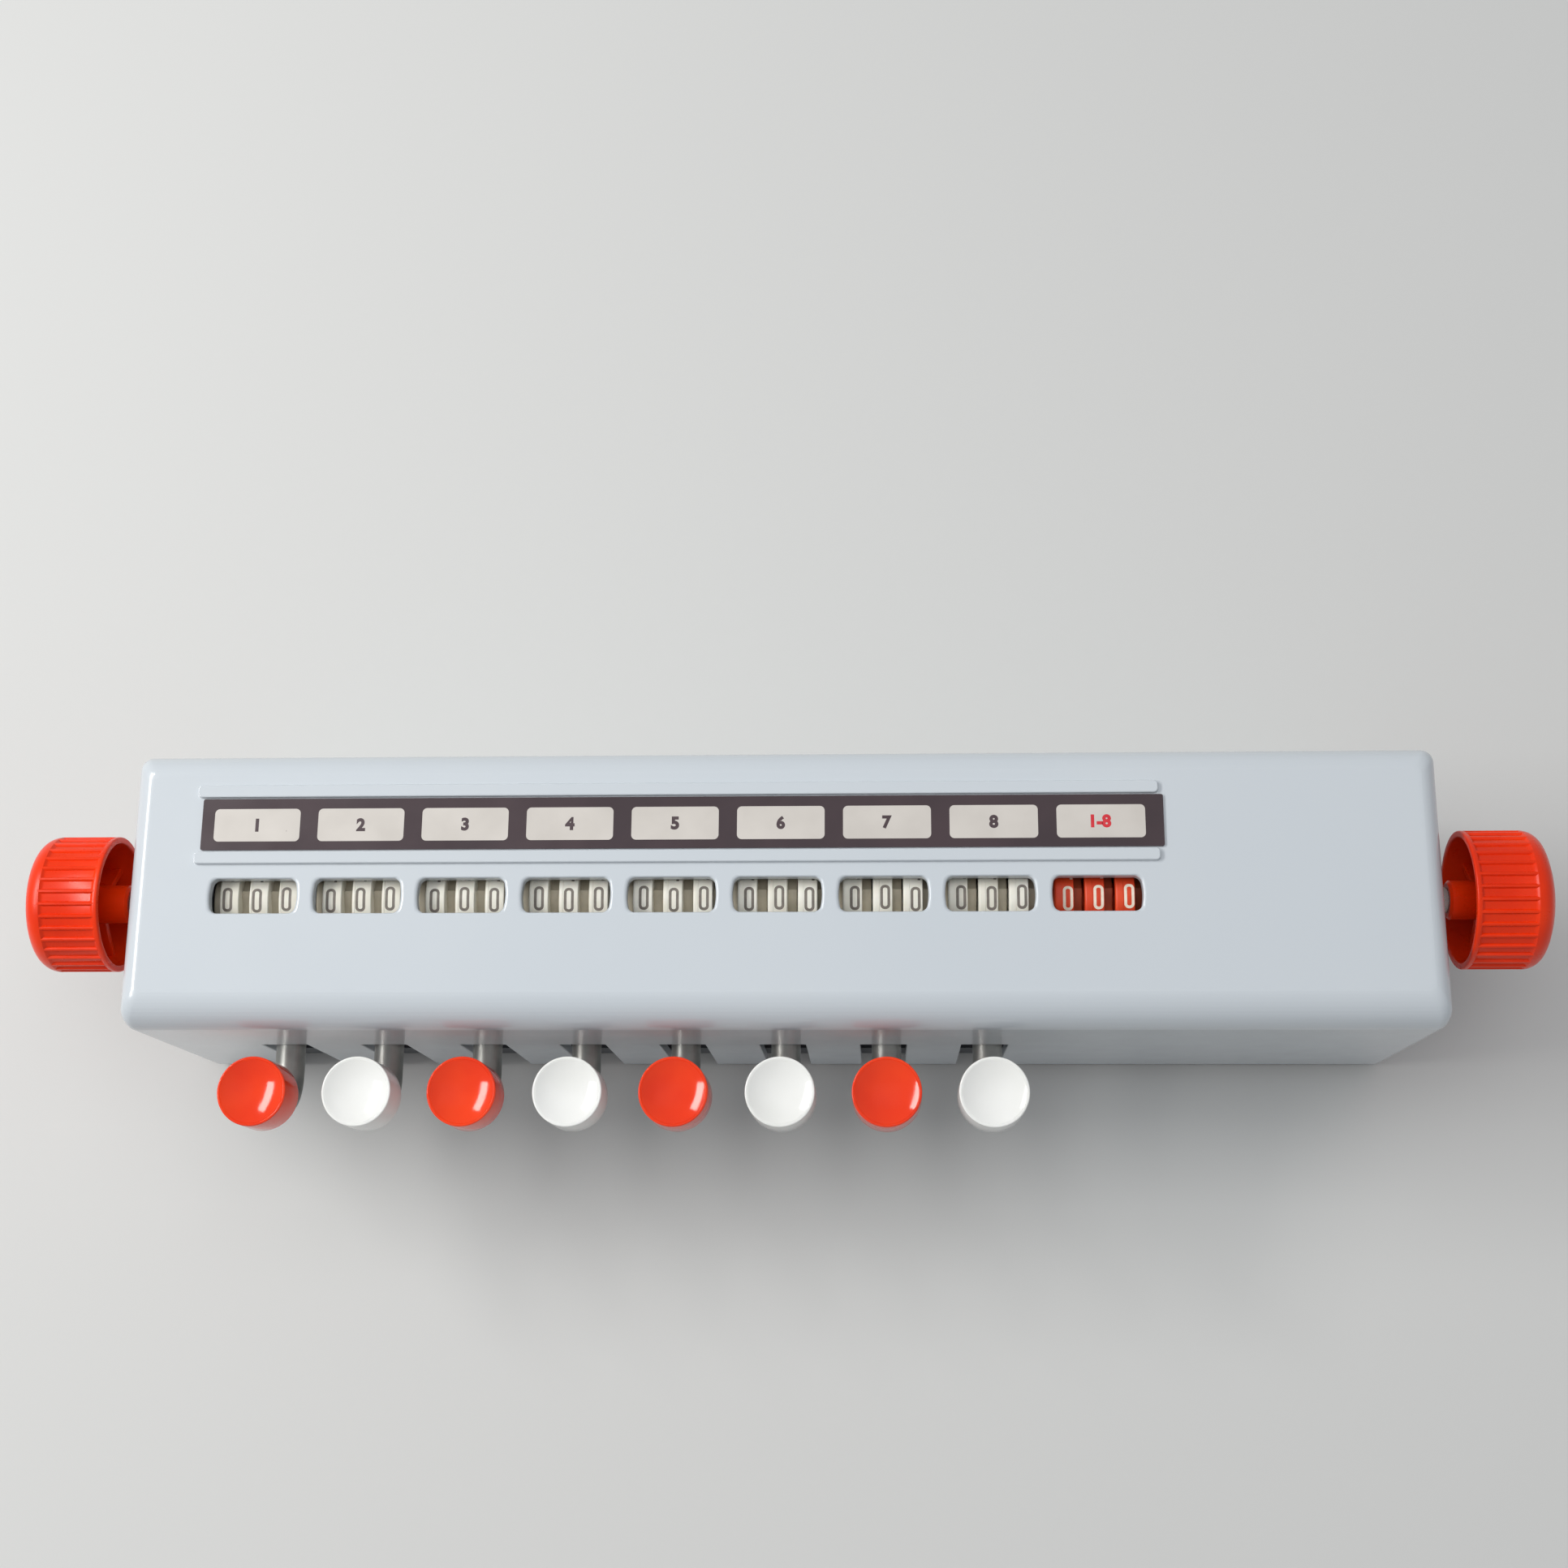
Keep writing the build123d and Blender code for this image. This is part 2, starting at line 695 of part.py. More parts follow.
def bell_gong():
    gong = rod_along_x(gong_radius, gong_crown_x, gong_mouth_x, gong_y, gong_z)
    gong = fillet(gong.edges().filter_by(GeomType.CIRCLE).sort_by(Axis.X)[0], gong_crown_radius)
    hollow = rod_along_x(
        gong_radius - gong_wall, gong_crown_x + gong_wall, gong_mouth_x + 1, gong_y, gong_z
    )
    crown = hollow.edges().filter_by(GeomType.CIRCLE).sort_by(Axis.X)[0]
    gong -= fillet(crown, gong_crown_radius - gong_wall)
    hole = gong_stud_diameter / 2 + seat_gap
    return gong - rod_along_x(hole, gong_crown_x - 1, gong_mouth_x, gong_y, gong_z)


def bell_bracket():
    margin = bell_plate_margin
    plate = side_plate(
        bell_plate_x,
        bell_plate_x + bell_plate_thickness,
        [
            (gong_y - gong_radius / 2, base_top_z),
            (pivot_y + margin, base_top_z),
            (pivot_y + margin, pivot_z + margin),
            (pivot_y - margin, pivot_z + margin),
            (gong_y - gong_radius / 2, gong_z + margin),
        ],
    )
    plate += block(
        bell_plate_x,
        bell_plate_x + bell_foot_length,
        gong_y - gong_radius / 2,
        pivot_y + margin - boss_diameter,
        base_top_z,
        base_top_z + bell_plate_thickness,
    )
    shoulder_x = gong_crown_x + gong_wall
    plate += rod_along_x(gong_shoulder_diameter / 2, shoulder_x, bell_plate_x, gong_y, gong_z)
    rivet_x = gong_crown_x - gong_rivet_height
    plate += rod_along_x(gong_stud_diameter / 2, rivet_x, shoulder_x, gong_y, gong_z)
    plate += rod_along_x(gong_rivet_diameter / 2, rivet_x, gong_crown_x, gong_y, gong_z)
    stud_x = bell_plate_x - hammer_stud_length
    return plate + rod_along_x(hammer_stud_diameter / 2, stud_x, bell_plate_x, pivot_y, pivot_z)


def bell_hammer():
    high_x = bell_plate_x - hammer_hub_gap
    low_x = high_x - hammer_hub_length
    pivot = (pivot_y, pivot_z)
    hammer = rod_along_x(hammer_hub_diameter / 2, low_x, high_x, *pivot)
    arm_x = high_x - hammer_arm_thickness
    head = (hammer_y, gong_z)
    hammer += side_bar(arm_x, high_x, pivot, head, hammer_arm_width, hammer_arm_width)
    hammer += Pos(high_x - hammer_arm_thickness / 2, *head) * Sphere(hammer_head_diameter / 2)
    trip = (pivot_y - trip_arm_length, pivot_z)
    trip_x = low_x + hammer_arm_thickness
    hammer += side_bar(low_x, trip_x, pivot, trip, hammer_arm_width, hammer_arm_width)
    bore = hammer_stud_diameter / 2 + running_gap
    return hammer - rod_along_x(bore, low_x - 1, high_x + 1, *pivot)


def write(name, shape):
    export_step(shape, os.path.join("parts", name + ".step"))


corners = [(x, y) for x in (-screw_x, screw_x) for y in screw_ys]
write("top_cover", top_cover())
write("base_tray", base_tray())
write("rubber_feet", Compound(children=[rubber_foot(x, y) for x, y in corners]))
write("case_screws", Compound(children=[case_screw(x, y) for x, y in corners]))
write("label_strip", label_strip())
write("reset_shaft", reset_shaft())
write("shaft_bushes", Compound(children=[shaft_bush(side) for side in (-1, 1)]))
right_knob = reset_knob()
write("reset_knob_right", right_knob)
write("reset_knob_left", mirror(right_knob, Plane.YZ))
write("bearing_plates", Compound(children=[bearing_plate(x) for x in plate_xs]))
write("detent_comb", detent_comb())
write("key_axle", key_axle())
write("return_springs", Compound(children=[return_spring(x) for x in key_xs]))
write("total_bail", total_bail())
write("bell_gong", bell_gong())
write("bell_bracket", bell_bracket())
write("bell_hammer", bell_hammer())
for number, counter_x in enumerate(counter_xs, start=1):
    group = str(number) if number <= key_count else "total"
    for name in wheel_places:
        write("wheel_" + group + "_" + name, number_wheel(counter_x, name))
    if number <= key_count:
        write("key_lever_" + group, key_lever(counter_x))
        write("key_cap_" + group, key_cap(counter_x + key_shift))
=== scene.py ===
import math
import bmesh
import bpy
from mathutils import Matrix, Vector


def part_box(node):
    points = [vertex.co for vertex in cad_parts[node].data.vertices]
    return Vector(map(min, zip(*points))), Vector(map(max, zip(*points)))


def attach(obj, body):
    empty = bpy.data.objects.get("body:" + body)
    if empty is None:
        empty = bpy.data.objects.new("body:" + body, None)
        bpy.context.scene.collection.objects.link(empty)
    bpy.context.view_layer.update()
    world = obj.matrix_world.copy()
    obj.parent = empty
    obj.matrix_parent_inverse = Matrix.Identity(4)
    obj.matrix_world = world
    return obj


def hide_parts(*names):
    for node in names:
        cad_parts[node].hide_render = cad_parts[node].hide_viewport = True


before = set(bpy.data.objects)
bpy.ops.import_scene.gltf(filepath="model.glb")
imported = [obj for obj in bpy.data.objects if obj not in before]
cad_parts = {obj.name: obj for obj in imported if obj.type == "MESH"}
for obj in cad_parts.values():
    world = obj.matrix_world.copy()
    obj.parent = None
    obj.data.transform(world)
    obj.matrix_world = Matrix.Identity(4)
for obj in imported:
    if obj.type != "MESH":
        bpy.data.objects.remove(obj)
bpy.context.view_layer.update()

# Differential cell counter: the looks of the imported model.
# Sizes in the dictionaries are millimetres and colours are as they show on screen, 0 to 255.
scene = bpy.context.scene
mm = 0.001

counterValues = {
    "count": 9,
    "keys": 8,
    "firstX": -120.0,
    "pitch": 24.0,
    "keyShift": 0.7,
    "faceZ": 74.0,
    "caseY": 11.0,
    "shaftY": 10.0,
    "shaftZ": 58.6,
}
counterXs = [counterValues["firstX"] + i * counterValues["pitch"] for i in range(counterValues["count"])]


# Small helpers for nodes, meshes and pieces

def shown(r, g, b):
    parts = []
    for level in (r, g, b):
        level = level / 255
        parts.append(level / 12.92 if level <= 0.04045 else ((level + 0.055) / 1.055) ** 2.4)
    return (*parts, 1.0)


def put(tree, kind, sockets=None, **settings):
    node = tree.nodes.new(kind)
    for key, value in settings.items():
        setattr(node, key, value)
    for key, value in (sockets or {}).items():
        if isinstance(value, bpy.types.NodeSocket):
            tree.links.new(value, node.inputs[key])
        else:
            node.inputs[key].default_value = value
    return node


def mixColours(tree, factor, first, second):
    node = put(tree, "ShaderNodeMix", {0: factor, 6: first, 7: second}, data_type="RGBA")
    return node.outputs[2]


def spread(tree, value, low, high, toLow=0.0, toHigh=1.0):
    sockets = {"Value": value, "From Min": low, "From Max": high, "To Min": toLow, "To Max": toHigh}
    return put(tree, "ShaderNodeMapRange", sockets).outputs["Result"]


def maths(tree, operation, *values):
    return put(tree, "ShaderNodeMath", dict(enumerate(values)), operation=operation).outputs[0]


def cloud(tree, place, scale, detail=3.0, roughness=0.5):
    sockets = {"Vector": place, "Scale": scale, "Detail": detail, "Roughness": roughness}
    return put(tree, "ShaderNodeTexNoise", sockets).outputs["Fac"]


# How far a spot is from flat: near 1 on an edge
def edgeMask(tree, radius):
    soft = put(tree, "ShaderNodeBevel", {"Radius": radius * mm}, samples=4).outputs["Normal"]
    flat = put(tree, "ShaderNodeNewGeometry").outputs["Normal"]
    dot = put(tree, "ShaderNodeVectorMath", {0: soft, 1: flat}, operation="DOT_PRODUCT")
    return spread(tree, dot.outputs["Value"], 0.995, 0.80)


wearScale = 420.0  # how fine the rubbed spots on edges are


# One finish from its dictionary. Every finish has clouded colour, uneven gloss and a grain in relief.
def makeFinish(name, look):
    material = bpy.data.materials.new(name)
    material.use_nodes = True
    tree = material.node_tree
    shader = tree.nodes["Principled BSDF"]
    place = put(tree, "ShaderNodeTexCoord").outputs["Object"]
    grainPlace = place
    if "stretch" in look:
        grainPlace = put(tree, "ShaderNodeMapping", {"Vector": place, "Scale": look["stretch"]}).outputs[0]
    patches = spread(tree, cloud(tree, place, look["patchScale"]), 0.35, 0.65)
    colour = mixColours(tree, patches, shown(*look["colour"]), shown(*look["shade"]))
    grain = cloud(tree, grainPlace, look["grainScale"], 2.0, 0.55)
    if "grainTint" in look:
        tint = spread(tree, grain, 0.3, 0.7, 0.0, look["grainTint"])
        colour = mixColours(tree, tint, colour, shown(*look["shade"]))
    if "specks" in look:
        cells = put(tree, "ShaderNodeTexVoronoi", {"Vector": place, "Scale": look["speckScale"]})
        dots = spread(tree, cells.outputs["Distance"], look["speckSize"], look["speckSize"] * 0.6)
        chosen = put(tree, "ShaderNodeSeparateColor", {"Color": cells.outputs["Color"]}).outputs["Red"]
        few = spread(tree, chosen, look["speckShare"], look["speckShare"] * 0.9)
        both = maths(tree, "MULTIPLY", dots, few)
        colour = mixColours(tree, both, colour, shown(*look["specks"]))
    if "wear" in look:
        rubbed = spread(tree, cloud(tree, place, wearScale, 4.0, 0.6), 0.52, 0.66)
        edge = edgeMask(tree, look["wearWidth"])
        worn = maths(tree, "MULTIPLY", rubbed, edge)
        colour = mixColours(tree, worn, colour, shown(*look["wear"]))
    tree.links.new(colour, shader.inputs["Base Color"])
    smears = cloud(tree, place, look["smearScale"], 5.0, 0.6)
    gloss = spread(tree, smears, 0.3, 0.7, look["gloss"][0], look["gloss"][1])
    tree.links.new(gloss, shader.inputs["Roughness"])
    relief = put(tree, "ShaderNodeBump", {"Strength": 1.0, "Distance": look["grainDepth"] * mm, "Height": grain})
    if "waveDepth" in look:
        waves = cloud(tree, place, look["waveScale"], 1.0, 0.4)
        sockets = {"Strength": 1.0, "Distance": look["waveDepth"] * mm, "Height": waves}
        sockets["Normal"] = relief.outputs["Normal"]
        relief = put(tree, "ShaderNodeBump", sockets)
    tree.links.new(relief.outputs["Normal"], shader.inputs["Normal"])
    shader.inputs["Metallic"].default_value = look.get("metal", 0.0)
    shader.inputs["Coat Weight"].default_value = look.get("coat", 0.0)
    shader.inputs["Coat Roughness"].default_value = look.get("coatGloss", 0.08)
    shader.inputs["Subsurface Weight"].default_value = look.get("depth", 0.0)
    shader.inputs["Subsurface Radius"].default_value = look.get("depthReach", (0.001, 0.0004, 0.0002))
    shader.inputs["Specular IOR Level"].default_value = look.get("shine", 0.5)
    return material


def wear(piece, *materials):
    slots = piece.data.materials
    for i, material in enumerate(materials):
        if i < len(slots):
            slots[i] = material
        else:
            slots.append(material)


def dress(nodeName, material):
    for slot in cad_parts[nodeName].material_slots:
        slot.material = material


def addPiece(name, mesh, body, stands=(), smooth=32):
    mesh.shade_smooth()
    mesh.set_sharp_from_angle(angle=math.radians(smooth))
    piece = bpy.data.objects.new(name, mesh)
    scene.collection.objects.link(piece)
    if stands:
        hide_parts(*stands)
    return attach(piece, body)


def meshFrom(bm, name):
    mesh = bpy.data.meshes.new(name)
    bm.to_mesh(mesh)
    bm.free()
    return mesh


# Faces between rings that are as long as each other or a single point. Caps are faces already made.
def joinRings(bm, pairs, slot, caps=()):
    faces = list(caps)
    for low, high in pairs:
        steps = max(len(low), len(high))
        for i in range(steps):
            j = (i + 1) % steps
            corners = [low[i % len(low)], low[j % len(low)], high[j % len(high)], high[i % len(high)]]
            corners = list(dict.fromkeys(corners))
            if len(corners) > 2:
                faces.append(bm.faces.new(corners))
    for face in faces:
        face.material_index = slot
    bmesh.ops.recalc_face_normals(bm, faces=faces)


# A closed form from a stack of loops with as many points each
def stackLoops(bm, loops):
    rings = [[bm.verts.new(point) for point in loop] for loop in loops]
    faces = [bm.faces.new(list(reversed(rings[0]))), bm.faces.new(rings[-1])]
    joinRings(bm, zip(rings, rings[1:]), 0, faces)


# A turned form: the profile's points are (radius, distance along the axis)
def turnProfile(bm, profile, steps, place, closed=False, slot=0):
    rings = []
    for radius, along in profile:
        if radius < 1e-6:
            rings.append([bm.verts.new(place(0.0, 0.0, along))])
        else:
            rings.append([bm.verts.new(place(radius, 2 * math.pi * i / steps, along)) for i in range(steps)])
    pairs = list(zip(rings, rings[1:]))
    if closed:
        pairs.append((rings[-1], rings[0]))
    joinRings(bm, pairs, slot)


# Points on an arc in a profile, from one angle to another
def arcPoints(centre, radius, startDeg, endDeg, steps):
    points = []
    for i in range(steps + 1):
        angle = math.radians(startDeg + (endDeg - startDeg) * i / steps)
        points.append((centre[0] + radius * math.cos(angle), centre[1] + radius * math.sin(angle)))
    return points


# The same for a profile of (radius, distance along the axis)
def edgePoints(*arc):
    return [(radius, along) for along, radius in arcPoints(*arc)]


def bakedMesh(piece, name):
    graph = bpy.context.evaluated_depsgraph_get()
    mesh = bpy.data.meshes.new_from_object(piece.evaluated_get(graph), depsgraph=graph)
    mesh.name = name
    return mesh


def looseObject(mesh):
    loose = bpy.data.objects.new(mesh.name + "Base", mesh)
    scene.collection.objects.link(loose)
    return loose


def discard(*objects):
    for item in objects:
        bpy.data.objects.remove(item)


# Node trees that grow geometry: named inputs, then a plain mesh from the result
def newTree(name, inputs):
    tree = bpy.data.node_groups.new(name, "GeometryNodeTree")
    tree.interface.new_socket("Geometry", in_out="INPUT", socket_type="NodeSocketGeometry")
    tree.interface.new_socket("Geometry", in_out="OUTPUT", socket_type="NodeSocketGeometry")
    for label, kind in inputs.items():
        tree.interface.new_socket(label, in_out="INPUT", socket_type="NodeSocket" + kind)
    return tree, put(tree, "NodeGroupInput"), put(tree, "NodeGroupOutput")


def finishTree(tree, source, output, geometry):
    real = put(tree, "GeometryNodeRealizeInstances", {"Geometry": geometry})
    sockets = {"Geometry": real.outputs[0], "Material": source.outputs["Material"]}
    coated = put(tree, "GeometryNodeSetMaterial", sockets)
    tree.links.new(coated.outputs[0], output.inputs["Geometry"])


def grow(mesh, tree, values, name):
    base = looseObject(mesh)
    modifier = base.modifiers.new(name, "NODES")
    modifier.node_group = tree
    for item in tree.interface.items_tree:
        if item.in_out == "INPUT" and item.name in values:
            modifier[item.identifier] = values[item.name]
    made = bakedMesh(base, name)
    base.modifiers.remove(modifier)
    discard(base)
    return made


# Finishes

looks, finishes = {}, {}


# A finish from its own values, or from another finish's with some of them changed
def finish(name, base=None, **values):
    looks[name] = dict(looks.get(base, {}), **values)
    finishes[name] = makeFinish(name, looks[name])


finish(
    "caseEnamel", colour=(204, 210, 215), shade=(200, 207, 213), patchScale=9.0, grainScale=900.0,
    grainDepth=0.003, waveScale=26.0, waveDepth=0.05, smearScale=38.0, gloss=(0.17, 0.27), coat=0.35,
    coatGloss=0.06, specks=(150, 156, 160), speckScale=95.0, speckSize=0.02, speckShare=0.05,
    wear=(222, 226, 229), wearWidth=0.25,
)
finish(
    "knobPlastic", colour=(240, 58, 6), shade=(226, 46, 2), patchScale=60.0, grainScale=1500.0,
    grainDepth=0.002, waveScale=120.0, waveDepth=0.02, smearScale=150.0, gloss=(0.24, 0.36), depth=0.06,
    shine=0.3, wear=(246, 76, 20), wearWidth=0.12,
)
finish("capRedPlastic", "knobPlastic", colour=(240, 62, 10), shade=(230, 50, 6), gloss=(0.07, 0.14), shine=0.45)
finish(
    "capWhitePlastic", "knobPlastic", colour=(241, 241, 238), shade=(235, 235, 231), gloss=(0.07, 0.14),
    shine=0.45, wear=(250, 250, 248), depthReach=(0.001, 0.001, 0.0009),
)
finish(
    "drumIvory", colour=(238, 235, 224), shade=(226, 222, 208), patchScale=180.0, grainScale=1400.0,
    grainDepth=0.002, smearScale=300.0, gloss=(0.34, 0.5), depth=0.05, wear=(214, 208, 192), wearWidth=0.2,
)
finish("drumRed", "drumIvory", colour=(226, 74, 32), shade=(210, 60, 26), wear=(236, 110, 62))
# Collars: darker copies of the drum colours, painted shade of the recess between the drums
finish("collarShadedIvory", "drumIvory", colour=(196, 187, 168), shade=(176, 168, 150), wear=(210, 203, 186))
finish("collarShadedRed", "drumIvory", colour=(176, 84, 52), shade=(150, 66, 42), wear=(190, 100, 66))
finish(
    "inkGrey", colour=(112, 105, 98), shade=(126, 118, 110), patchScale=700.0, grainScale=3000.0,
    grainDepth=0.001, smearScale=500.0, gloss=(0.45, 0.6),
)
finish("inkWhite", "inkGrey", colour=(246, 234, 216), shade=(238, 222, 202))
finish("inkBrown", "inkGrey", colour=(70, 56, 60), shade=(78, 64, 68))
finish("inkRed", "inkGrey", colour=(206, 44, 56), shade=(214, 58, 66))
finish(
    "stripFilm", colour=(68, 54, 58), shade=(61, 49, 53), patchScale=60.0, grainScale=2600.0, grainDepth=0.002,
    waveScale=30.0, waveDepth=0.05, smearScale=90.0, gloss=(0.28, 0.42), specks=(120, 112, 108),
    speckScale=240.0, speckSize=0.045, speckShare=0.08, wear=(104, 92, 94), wearWidth=0.15,
)
finish(
    "fieldFilm", colour=(212, 206, 199), shade=(203, 197, 190), patchScale=80.0, grainScale=2200.0,
    grainDepth=0.002, smearScale=90.0, gloss=(0.3, 0.45), specks=(170, 162, 156), speckScale=300.0,
    speckSize=0.05, speckShare=0.06,
)
finish(
    "stemSteel", colour=(178, 178, 174), shade=(150, 150, 146), patchScale=120.0, stretch=(1.0, 0.06, 0.06),
    grainScale=4200.0, grainTint=0.35, grainDepth=0.003, smearScale=200.0, gloss=(0.36, 0.5), metal=1.0,
)
finish("shaftSteel", "stemSteel", stretch=(1.0, 0.05, 0.05), gloss=(0.18, 0.32))
finish(
    "zincSteel", colour=(186, 190, 194), shade=(150, 156, 164), patchScale=70.0, grainScale=1100.0,
    grainTint=0.25, grainDepth=0.004, smearScale=120.0, gloss=(0.28, 0.46), metal=1.0, wear=(214, 216, 218),
    wearWidth=0.3,
)
finish("springSteel", "zincSteel", colour=(150, 154, 160), shade=(112, 116, 124), gloss=(0.22, 0.36))
finish("bushBrass", "zincSteel", colour=(208, 170, 98), shade=(176, 138, 72), wear=(232, 202, 138))
finish(
    "gongNickel", "zincSteel", colour=(206, 203, 196), shade=(178, 175, 168), gloss=(0.1, 0.2),
    grainDepth=0.001,
)
# Base tray: dark grey, so that the view through the key slots shows painted shade of the case's inside
finish(
    "trayShadePaint", colour=(70, 73, 77), shade=(60, 63, 67), patchScale=40.0, grainScale=700.0, grainDepth=0.03,
    smearScale=60.0, gloss=(0.4, 0.58), wear=(138, 142, 146), wearWidth=0.35,
)
finish(
    "footRubber", colour=(34, 34, 36), shade=(46, 46, 47), patchScale=90.0, grainScale=1300.0, grainDepth=0.02,
    smearScale=160.0, gloss=(0.62, 0.82), wear=(66, 66, 66), wearWidth=0.4,
)
finish(
    "blackScrew", "zincSteel", colour=(74, 74, 78), shade=(52, 52, 56), wear=(134, 134, 138), gloss=(0.3, 0.5),
)
print("finishes made:", len(finishes))


# Case cover: a lofted shell, then windows, key slots and bush holes cut through it

coverValues = {
    "length": 300.0,
    "depth": 64.0,
    "bottomZ": 4.0,
    "wall": 2.5,
    "outerFolds": (8.5, 6.0, 4.7),  # front, back and ends
    "innerFolds": (6.0, 1.5, 1.1),
    "cornerRadius": 2.8,
    "faceCorner": 1.2,
    "innerCorner": 0.8,
    "cornerSteps": 6,
    "foldStepDeg": 7.5,
    "lipRadius": 0.3,
    "windowWidth": 20.3,
    "windowHeight": 8.0,
    "windowBow": 0.6,
    "windowCorner": 1.3,
    "windowShiftX": (-0.2, 0.35),  # at the first and the last window
    "windowShiftY": -2.2,
    "windowRoll": 0.6,
    "windowRollX": 0.85,
    "windowRollY": 0.4,
    "cutterSpare": 1.0,
    "rollDeg": 82.0,
    "slotWidth": 11.0,
    "slotTopZ": 41.4,
    "slotCorner": 0.8,
    "slotRoll": 0.35,
    "bushHole": 4.52,
    "bossRadius": 4.5,
    "bossTopZ": 21.0,
    "bossFloorZ": 6.0,
    "bossEdge": 0.4,
    "bossX": 140.0,
    "bossYs": (-11.0, 33.0),
    "screwHole": 1.52,
    "screwTopZ": 15.9,
    "ribWidth": 4.0,
}
railValues = {
    "length": 221.0,
    "width": 2.9,
    "height": 1.0,
    "endRadius": 1.0,
    "topRadius": 0.32,
    "footRadius": 0.22,
    "centreX": -23.9,
    "centreY": 25.5,
    "spacing": 15.7,
}


cornerStarts = ((1, -1, -90), (1, 1, 0), (-1, 1, 90), (-1, -1, 180))  # signs of x and y, first degree


def roundedLoop(halfX, halfY, radius, steps, centre, toPoint):
    loop = []
    for signX, signY, start in cornerStarts:
        for i in range(steps + 1):
            angle = math.radians(start + 90 * i / steps)
            u = centre[0] + signX * (halfX - radius) + radius * math.cos(angle)
            w = centre[1] + signY * (halfY - radius) + radius * math.sin(angle)
            loop.append(toPoint(u, w))
    return loop


# One level of the shell; the vertical corners tighten towards the face
def caseLoop(z, inset, folds, corner, faceCorner, shrink=0.0):
    v = coverValues
    top = counterValues["faceZ"] - inset

    def foldIn(radius):
        rise = max(z - (top - radius), 0.0)
        return radius - math.sqrt(max(radius**2 - rise**2, 0.0))

    front, back, end = folds
    halfX = v["length"] / 2 - inset - foldIn(end) - shrink
    low = counterValues["caseY"] - v["depth"] / 2 + inset + foldIn(front) + shrink
    high = counterValues["caseY"] + v["depth"] / 2 - inset - foldIn(back) - shrink
    corner += (faceCorner - corner) * foldIn(end) / end
    return roundedLoop(
        halfX, (high - low) / 2, corner, v["cornerSteps"], (0, (low + high) / 2),
        lambda u, w: Vector((u, w, z)) * mm,
    )


def foldHeights(inset, folds):
    v = coverValues
    top = counterValues["faceZ"] - inset
    heights = []
    for fold in folds:
        for i in range(int(90 / v["foldStepDeg"]) + 1):
            angle = math.radians(i * v["foldStepDeg"])
            heights.append(top - fold * (1 - math.sin(angle)))
    kept = []
    for z in sorted(heights):
        if not kept or z - kept[-1] > 0.012:
            kept.append(z)
    kept[-1] = top
    return kept


def windowLoop(x, spreadX, spreadY, z):
    v = coverValues
    halfX = v["windowWidth"] / 2 - v["windowBow"] + spreadX
    halfY = v["windowHeight"] / 2 + spreadY
    corner = v["windowCorner"]
    first, last = v["windowShiftX"]
    shift = first + (last - first) * (x - counterXs[0]) / (counterXs[-1] - counterXs[0])
    loop = []
    for signX, signY, start in cornerStarts:
        for i in range(9):
            angle = math.radians(start + 90 * i / 8)
            u = signX * (halfX - corner) + corner * math.cos(angle)
            w = signY * (halfY - corner) + corner * math.sin(angle)
            loop.append((u, w))
        if start in (-90, 90):
            for i in range(1, 6):
                loop.append((signX * halfX, signY * (halfY - corner) * (1 - i / 3)))
    points = []
    for u, w in loop:
        bow = v["windowBow"] * (1 - (w / halfY) ** 2)
        y = counterValues["caseY"] + v["windowShiftY"] + w
        points.append(Vector((x + shift + math.copysign(abs(u) + bow, u), y, z)) * mm)
    return points


def slotLoop(x, extra, y):
    v = coverValues
    half = v["slotWidth"] / 2 + extra
    top = v["slotTopZ"] + extra
    loop = [Vector((x - half, y, 0)) * mm, Vector((x + half, y, 0)) * mm]
    for signX, start in ((1, 0), (-1, 90)):
        for i in range(6):
            angle = math.radians(start + 18 * i)
            u = x + signX * (half - v["slotCorner"]) + v["slotCorner"] * math.cos(angle)
            loop.append(Vector((u, y, top - v["slotCorner"] + v["slotCorner"] * math.sin(angle))) * mm)
    return loop


def rollOver(radius, steps=6):
    pairs = []
    for i in range(steps + 1):
        angle = math.radians(coverValues["rollDeg"] * i / steps)
        pairs.append((radius * (1 - math.cos(angle)), radius * math.sin(angle)))
    return pairs


